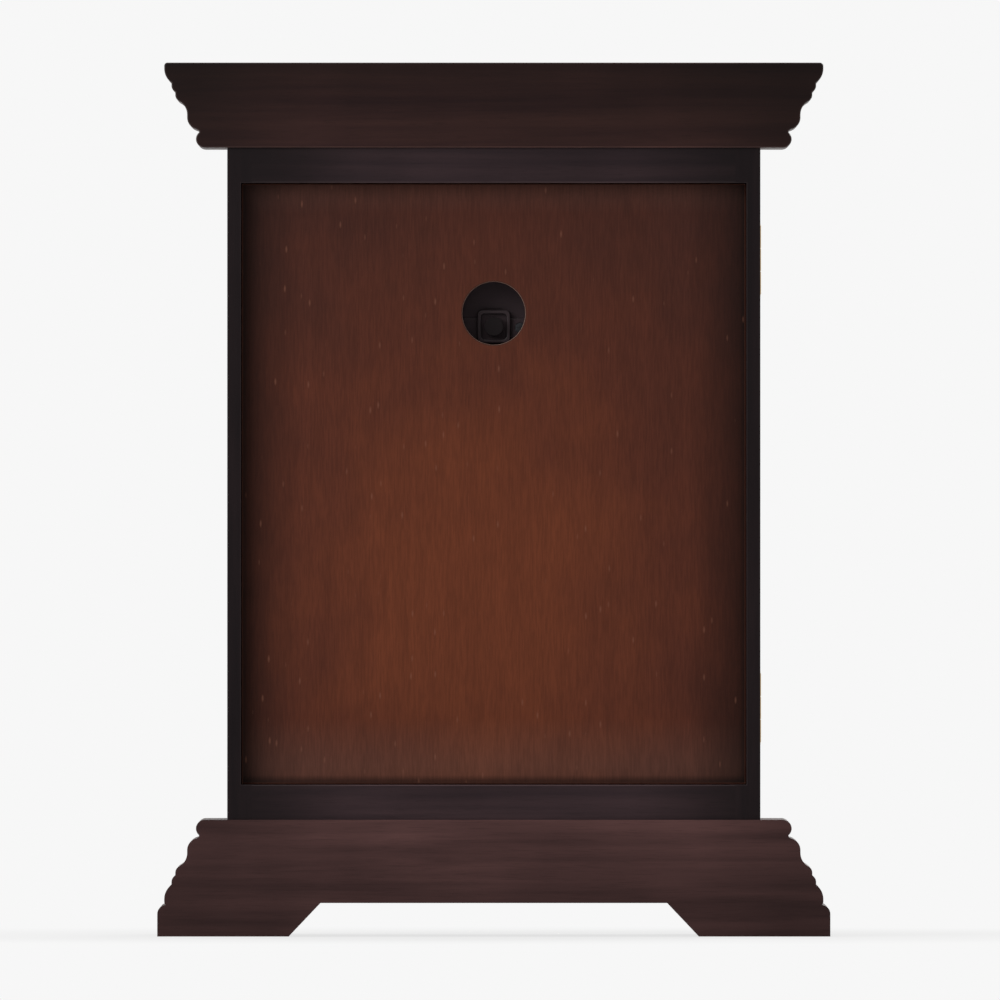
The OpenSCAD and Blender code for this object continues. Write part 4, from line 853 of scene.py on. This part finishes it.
def end_tree(tree, end, instances, material):
    """Ends a tree in plain geometry with its material."""
    real = add(tree, "GeometryNodeRealizeInstances", {"Geometry": instances})
    last = add(tree, "GeometryNodeSetMaterial", {"Geometry": real, "Material": material})
    fill(tree, end, {"Geometry": last})


def grown(name, tree, values, body, corners=()):
    """Makes a piece with a Geometry Nodes tree, from the given corners, and turns it to a plain mesh."""
    mesh = bpy.data.meshes.new(name)
    mesh.from_pydata(corners, [], [])
    piece = placed(name, mesh)
    modifier = piece.modifiers.new(tree.name, "NODES")
    modifier.node_group = tree
    for item in tree.interface.items_tree:
        if item.in_out == "INPUT" and item.name in values:
            modifier[item.identifier] = values[item.name]
    settled(piece, body)


def minute_marks_tree():
    """Marks round the dial: one bar for each minute, and every fifth of them wider."""
    tree, given, end = new_tree("minute marks", {
        "Marks": "Int", "Radius": "Float", "Bar": "Vector", "Hour mark": "Float", "Centre": "Vector",
        "Ink": "Material"})
    index = add(tree, "GeometryNodeInputIndex")
    turn = add(tree, "ShaderNodeMath", {0: index, 1: given["Marks"]}, operation="DIVIDE")
    angle = add(tree, "ShaderNodeMath", {0: turn, 1: 2 * math.pi}, operation="MULTIPLY")
    across = add(tree, "ShaderNodeMath", {0: angle}, operation="SINE")
    up = add(tree, "ShaderNodeMath", {0: angle}, operation="COSINE")
    outward = add(tree, "ShaderNodeCombineXYZ", {"X": across, "Z": up})
    place = add(tree, "ShaderNodeVectorMath", {
        0: outward, 1: given["Radius"], 2: given["Centre"]}, operation="MULTIPLY_ADD")
    points = add(tree, "GeometryNodePoints", {"Count": given["Marks"], "Position": place})
    bar = add(tree, "GeometryNodeMeshCube", {"Size": given["Bar"]})
    fifth = add(tree, "ShaderNodeMath", {0: index, 1: 5.0}, operation="MODULO")
    hour = add(tree, "ShaderNodeMath", {0: fifth, 1: 0.5}, operation="LESS_THAN")
    widen = add(tree, "ShaderNodeMapRange", {"Value": hour}, span=(0.0, 1.0, 1.0, given["Hour mark"]))
    scale = add(tree, "ShaderNodeCombineXYZ", {"X": widen, "Y": 1.0, "Z": 1.0})
    lean = add(tree, "ShaderNodeCombineXYZ", {"Y": angle})
    bars = add(tree, "GeometryNodeInstanceOnPoints", {
        "Points": points, "Instance": bar, "Rotation": lean, "Scale": scale})
    end_tree(tree, end, bars, given["Ink"])
    return tree


def slotted_screws_tree():
    """Small raised screw heads on the given points, each slot turned to where its screw came tight."""
    tree, given, end = new_tree("slotted screws", {
        "Head": "Float", "Crown": "Float", "Rise": "Float", "Slot": "Vector", "Tilt": "Float", "Seed": "Int",
        "Metal": "Material"})
    head = add(tree, "GeometryNodeMeshCone", {
        "Vertices": 28, "Radius Top": given["Crown"], "Radius Bottom": given["Head"],
        "Depth": given["Rise"]})
    slot = add(tree, "GeometryNodeMeshCube", {"Size": given["Slot"]})
    lift = add(tree, "ShaderNodeCombineXYZ", {"Z": given["Rise"]})
    raised = add(tree, "GeometryNodeTransform", {"Geometry": slot, "Translation": lift})
    cut = add(tree, "GeometryNodeMeshBoolean", {"Mesh 1": head, "Mesh 2": raised}, operation="DIFFERENCE")
    tight = add(tree, "FunctionNodeRandomValue", {RANDOM_MAX: math.pi, "Seed": given["Seed"]})
    spin = add(tree, "FunctionNodeAxisAngleToRotation", {"Axis": (0, 0, 1), "Angle": tight})
    facing = add(tree, "ShaderNodeCombineXYZ", {"X": given["Tilt"]})
    turned = add(tree, "FunctionNodeRotateRotation", {"Rotation": facing, "Rotate By": spin},
                 rotation_space="LOCAL")
    screws = add(tree, "GeometryNodeInstanceOnPoints", {
        "Points": given["Geometry"], "Instance": cut, "Rotation": turned})
    end_tree(tree, end, screws, given["Metal"])
    return tree


def seal_strip(bm, across, depth, upright):
    """Adds an upright strip that is flat where it is glued to the case and round where the door shuts."""
    middle, half = sum(across) / 2, abs(across[1] - across[0]) / 2
    turns = [math.pi * k / SEAL_STEPS for k in range(SEAL_STEPS + 1)]
    section = [(middle + half * math.cos(t), depth[0] + (depth[1] - depth[0]) * math.sin(t)) for t in turns]
    foot, head = ([bm.verts.new((x, y, z)) for x, y in section] for z in upright)
    for k in range(len(section)):
        bm.faces.new((foot[k - 1], foot[k], head[k], head[k - 1]))
    bm.faces.new(foot)
    bm.faces.new(head)


class CLOCK_OT_stage(Operator):
    """Sets the camera, the lamps, the even light and the pale floor"""

    bl_idname = "clock.stage"
    bl_label = "Stage"

    def execute(self, context):
        scene = context.scene
        stage = scene.clock_stage
        scene.view_settings.view_transform = "Standard"
        camera = bpy.data.cameras.new("camera")
        camera.lens = camera.sensor_width * stage.distance / stage.picture
        camera.clip_end = CLIP_END
        scene.camera = placed("camera", camera)
        scene.camera.location = (-stage.aside, CAD_BOX[1].y + stage.distance, stage.height)
        scene.camera.rotation_euler = (math.pi / 2, 0.0, math.pi)
        middle = Vector((0.0, 0.0, (CAD_BOX[0].z + CAD_BOX[1].z) / 2))
        for name, (place, size) in LAMPS.items():
            lamp = bpy.data.lights.new(name, "AREA")
            lamp.energy = getattr(stage, name)
            lamp.size = size
            stand = placed(name, lamp)
            stand.location = place
            stand.rotation_euler = (middle - stand.location).to_track_quat("-Z", "Y").to_euler()
        scene.world = self.surround(stage)
        self.floor(stage)
        return {"FINISHED"}

    def emptied(self, holder):
        """The node tree of a new world or material, with its first nodes taken out."""
        holder.use_nodes = True
        holder.node_tree.nodes.clear()
        return holder.node_tree

    def seen(self, tree):
        """One where the camera, a reflection or a view through glass looks."""
        path = add(tree, "ShaderNodeLightPath")
        mirrored = add(tree, "ShaderNodeMath", {
            0: path.outputs["Is Camera Ray"], 1: path.outputs["Is Glossy Ray"]}, operation="MAXIMUM")
        return add(tree, "ShaderNodeMath", {0: mirrored, 1: path.outputs["Is Transmission Ray"]},
                   operation="MAXIMUM")

    def surround(self, stage):
        """Even light on the object, and the backdrop's own colour where it is looked at."""
        world = bpy.data.worlds.new("studio")
        tree = self.emptied(world)
        light = add(tree, "ShaderNodeBackground", {"Color": WHITE, "Strength": stage.ambient})
        backdrop = add(tree, "ShaderNodeBackground", {"Color": stage.backdrop, "Strength": 1.0})
        either = add(tree, "ShaderNodeMixShader", {0: self.seen(tree), 1: light, 2: backdrop})
        add(tree, "ShaderNodeOutputWorld", {"Surface": either})
        return world

    def floor(self, stage):
        """A pale disc under the clock that takes its soft shadow and fades into the backdrop."""
        material = bpy.data.materials.new("pale_floor")
        tree = self.emptied(material)
        paint = add(tree, "ShaderNodeBsdfDiffuse", {"Color": stage.floor})
        glow = add(tree, "ShaderNodeEmission", {"Color": stage.backdrop, "Strength": 1.0})
        place = add(tree, "ShaderNodeTexCoord")
        away = add(tree, "ShaderNodeVectorMath", {0: place.outputs["Object"]}, operation="LENGTH")
        fade = add(tree, "ShaderNodeMapRange", {"Value": away}, span=(*FLOOR_FADE, 1.0 - stage.shadow, 1.0),
                   interpolation_type="SMOOTHSTEP")
        share = add(tree, "ShaderNodeMath", {0: fade, 1: self.seen(tree)}, operation="MULTIPLY")
        both = add(tree, "ShaderNodeMixShader", {0: share, 1: paint, 2: glow})
        add(tree, "ShaderNodeOutputMaterial", {"Surface": both})
        bm = bmesh.new()
        bmesh.ops.create_circle(bm, cap_ends=True, radius=FLOOR_REACH, segments=FLOOR_STEPS)
        bmesh.ops.translate(bm, verts=bm.verts, vec=(0.0, 0.0, -FLOOR_DROP))
        return placed("floor", mesh_of(bm, "floor", [material]))


class CLOCK_OT_case(Operator):
    """Makes the case boards, the crown and the base, and the blocks glued under it"""

    bl_idname = "clock.case"
    bl_label = "Case, crown and base"

    def execute(self, context):
        dress_boards([n for n in BOARDS if BODY_OF[n] == "case" and n != "dial_board"])
        coat(bare_pine("planed_pine_blocks", "X"), "base_glue_blocks")
        return {"FINISHED"}


class CLOCK_OT_back(Operator):
    """Makes the stained plywood back with its finger hole"""

    bl_idname = "clock.back"
    bl_label = "Back panel"

    def execute(self, context):
        wood = context.scene.clock_wood
        plies = cut_plies("cut_plies", wood.panel_deep, wood.ply_core)
        bm = welded("back_panel")
        ease(bm, PLY_RUBBING * wood.arris)
        for face in bm.faces:
            if abs(face.normal.y) < CUT_ACROSS:
                face.material_index = 1
            elif abs(face.normal.y) < FACING:
                face.material_index = 2
        # The plywood's eased edges, round the finger hole too, are paler: worn plies and a painted highlight
        # ring
        rubbed = cut_plies("rubbed_plies", wood.ply_core, wood.ply_rubbed)
        stand_in(bm, "back_panel", "plywood", [stained_plywood("stained_plywood"), plies, rubbed])
        return {"FINISHED"}


class CLOCK_OT_door(Operator):
    """Makes the glazed door: its frame, glass, beads and knob"""

    bl_idname = "clock.door"
    bl_label = "Door"

    def execute(self, context):
        dress_boards([n for n in BOARDS if BODY_OF[n] == "door"])
        coat(float_glass("float_glass"), "door_glass")
        finished("door_knob", "turned", spun_brass("turned_knob_brass", middle_of("door_knob")), smooth=True)
        return {"FINISHED"}


class CLOCK_OT_hardware(Operator):
    """Makes the hinges with their screws, the catch with its strike, and the door's seal"""

    bl_idname = "clock.hardware"
    bl_label = "Hinges and catch"

    def execute(self, context):
        metals = context.scene.clock_metal
        pressed = worn_metal("pressed_brass", metals.hinge, roughness=0.3, cell=(0.3, 6, 0.3))
        plated = worn_metal("zinc_plated_steel", metals.zinc, roughness=0.34, cell=0.5)
        for node in ("hinge_case_leaves", "hinge_door_leaves", "hinge_pins"):
            finished(node, "pressed", pressed)
        for node in ("catch_magnet", "strike_plate"):
            finished(node, "plated", plated)
        tree = slotted_screws_tree()
        low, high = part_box("hinge_case_leaves")
        screw_x = low.x + SCREWS_ACROSS * (high.x - low.x)
        for seed, node, face, tilt in (
                (3, "hinge_case_leaves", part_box("left_side")[0].y, math.pi / 2),
                (8, "hinge_door_leaves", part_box("door_hinge_stile")[1].y, -math.pi / 2)):
            values = {"Head": 1.6 * MM, "Crown": 1.15 * MM, "Rise": 0.3 * MM,
                      "Slot": (4 * MM, 0.4 * MM, 0.4 * MM), "Tilt": tilt, "Seed": seed, "Metal": pressed}
            places = [(screw_x, face, z + share * HINGE_HEIGHT)
                      for z in (low.z, high.z - HINGE_HEIGHT) for share in SCREWS_UP]
            grown(node + "_screws", tree, values, BODY_OF[node], places)
        colour = context.scene.clock_movement.rubber
        rubber = moulded_plastic("seal_rubber", colour, roughness=0.7, gloss=0.15, grit=0.5)
        bm = bmesh.new()
        case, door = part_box("right_side"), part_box("door_knob_stile")
        for side in (-1, 1):
            across = [side * (case[0].x + inset) for inset in SEAL_REACH]
            seal_strip(bm, across, (case[0].y, door[1].y + SEAL_CLEAR), (door[0].z, door[1].z))
        added(bm, "door_seal_strips", rubber)
        return {"FINISHED"}


class CLOCK_OT_dial(Operator):
    """Makes the dial board, the enamelled dial with its printing, and the brass bezel"""

    bl_idname = "clock.dial"
    bl_label = "Dial"

    def execute(self, context):
        dial = context.scene.clock_dial
        centre = middle_of("dial_plate")[1]
        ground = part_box("dial_plate")[0].y
        front, back = ground - dial.relief, ground + dial.relief / 2
        dress_boards(["dial_board"])
        finished("dial_plate", "enamelled", dial_enamel("stoved_enamel", dial.enamel))
        finished("dial_bezel", "turned", spun_brass("turned_bezel_brass", (0.0, centre)), smooth=True)
        ink = moulded_plastic("screen_ink", dial.ink, roughness=0.5, gloss=0.3)
        bm = bmesh.new()
        numerals(bm, dial, centre, front, back)
        added(bm, "hour_numerals", ink)
        bm = bmesh.new()
        for radius in (dial.track_inner, dial.track_outer):
            ring(bm, radius, dial.line, centre, front, back)
        added(bm, "minute_track_lines", ink)
        grown("minute_marks", minute_marks_tree(), {
            "Marks": dial.minutes, "Radius": (dial.track_inner + dial.track_outer) / 2,
            "Bar": (dial.line, back - front, dial.track_outer - dial.track_inner),
            "Hour mark": dial.hour_mark / dial.line, "Centre": (0.0, (front + back) / 2, centre),
            "Ink": ink}, "case")
        coat(bare_pine("planed_pine_cleats", "Z"), "dial_cleats")
        return {"FINISHED"}


class CLOCK_OT_hands(Operator):
    """Makes the spade hands and what holds them"""

    bl_idname = "clock.hands"
    bl_label = "Hands"

    def execute(self, context):
        metals = context.scene.clock_metal
        black = moulded_plastic("black_lacquered_steel", metals.black, roughness=0.28, gloss=0.5, grit=0.25)
        for node in ("hour_hand", "minute_hand"):
            finished(node, "lacquered", black)
        brass = worn_metal("turned_nut_brass", metals.brass, roughness=0.24, cell=(0.2, 2, 0.2))
        for node in ("hand_nut", "fixing_nut", "fixing_washer"):
            finished(node, "turned", brass)
        coat(brass, "fixing_neck", "minute_arbor")
        return {"FINISHED"}


class CLOCK_OT_movement(Operator):
    """Makes the quartz movement behind the dial board"""

    bl_idname = "clock.movement"
    bl_label = "Movement"

    def execute(self, context):
        parts = context.scene.clock_movement
        metals = context.scene.clock_metal
        plastic = moulded_plastic("moulded_abs", parts.housing, roughness=0.55, gloss=0.12)
        for node in ("movement_case", "swing_arm"):
            finished(node, "moulded", plastic)
        dull = moulded_plastic("moulded_knob_abs", parts.knob, roughness=0.6, gloss=0.08)
        finished("setting_knob", "moulded", dull)
        polished = moulded_plastic("polished_abs_edge", parts.edge, roughness=0.35, gloss=0.22)
        bm = welded("movement_cover")
        self.ease_back(bm)
        stand_in(bm, "movement_cover", "moulded", [plastic, polished])
        coat(plastic, "bearing_plate")
        acetal = moulded_plastic("moulded_acetal", parts.wheel, roughness=0.4, gloss=0.5)
        coat(acetal, "hour_wheel", "setting_arbor")
        rubber = moulded_plastic("nitrile_rubber", parts.rubber, roughness=0.7, gloss=0.2, grit=0.6)
        coat(rubber, "rubber_gasket")
        coat(circuit_laminate("circuit_laminate", parts.laminate), "circuit_board")
        coat(wound_wire("motor_winding", metals.copper, "Z"), "motor_coil")
        coat(wound_wire("drive_winding", metals.copper, "Y"), "pendulum_coil")
        film = battery_film("battery_film", parts.jacket, parts.band, "battery")
        finished("battery", "in_film", film)
        steel = worn_metal("bright_steel", metals.zinc, roughness=0.28, cell=0.6)
        oxide = worn_metal("black_oxide_steel", metals.oxide, roughness=0.34, cell=0.5)
        finished("movement_screws", "blackened", oxide, steel)
        coat(steel, "motor_stator", "battery_contacts", "swing_magnet", "swing_pin", "dial_board_screws")
        return {"FINISHED"}

    def ease_back(self, bm):
        """Rounds the rim of the knob's well, and the step that runs across the cover's back."""
        rim = max(vertex.co.y for vertex in bm.verts)
        step = middle_of("setting_knob")[1] + COVER_STEP
        edges = []
        for edge in bm.edges:
            ends = [vertex.co for vertex in edge.verts]
            on_rim = all(abs(end.y - rim) < WELD for end in ends)
            on_step = all(abs(end.z - step) < WELD for end in ends) and abs(ends[0].y - ends[1].y) < WELD
            if edge.is_convex and (on_rim or on_step) and edge.calc_face_angle() > ARRIS_TURN:
                edges.append(edge)
        round_off(bm, edges, COVER_EDGE)


class CLOCK_OT_pendulum(Operator):
    """Makes the pendulum's rod and its round bob"""

    bl_idname = "clock.pendulum"
    bl_label = "Pendulum"

    def execute(self, context):
        metals = context.scene.clock_metal
        spun = spun_brass("spun_bob_brass", middle_of("pendulum_bob"))
        finished("pendulum_bob", "spun", spun)
        finished("bob_back", "spun", spun)
        strip = worn_metal("drawn_strip_brass", metals.brass, roughness=0.2, cell=(0.25, 0.25, 20))
        finished("pendulum_rod", "drawn", strip)
        return {"FINISHED"}


OPERATORS = (CLOCK_OT_stage, CLOCK_OT_case, CLOCK_OT_back, CLOCK_OT_door, CLOCK_OT_hardware, CLOCK_OT_dial,
             CLOCK_OT_hands, CLOCK_OT_movement, CLOCK_OT_pendulum)
SETTINGS = {"clock_stage": StageSettings, "clock_wood": WoodSettings, "clock_metal": MetalSettings,
            "clock_dial": DialSettings, "clock_movement": MovementSettings}


class CLOCK_PT_pieces(Panel):
    """Lists the clock's pieces, and the sizes and colours that they take"""

    bl_idname = "CLOCK_PT_pieces"
    bl_label = "Mantel clock"
    bl_space_type = "VIEW_3D"
    bl_region_type = "UI"
    bl_category = "Clock"

    def draw(self, context):
        column = self.layout.column(align=True)
        for operator in OPERATORS:
            column.operator(operator.bl_idname)
        for name, group in SETTINGS.items():
            box = self.layout.box()
            for setting in group.__annotations__:
                box.prop(getattr(context.scene, name), setting)


def register():
    for group in SETTINGS.values():
        bpy.utils.register_class(group)
    for cls in OPERATORS + (CLOCK_PT_pieces,):
        bpy.utils.register_class(cls)
    for name, group in SETTINGS.items():
        setattr(bpy.types.Scene, name, PointerProperty(type=group))


def unregister():
    for name in SETTINGS:
        delattr(bpy.types.Scene, name)
    for cls in (CLOCK_PT_pieces,) + OPERATORS[::-1] + tuple(SETTINGS.values()):
        bpy.utils.unregister_class(cls)


def main():
    """Makes every piece."""
    register()
    bpy.ops.clock.stage()
    bpy.ops.clock.case()
    bpy.ops.clock.back()
    bpy.ops.clock.door()
    bpy.ops.clock.hardware()
    bpy.ops.clock.dial()
    bpy.ops.clock.hands()
    bpy.ops.clock.movement()
    bpy.ops.clock.pendulum()


if __name__ == "__main__":
    main()
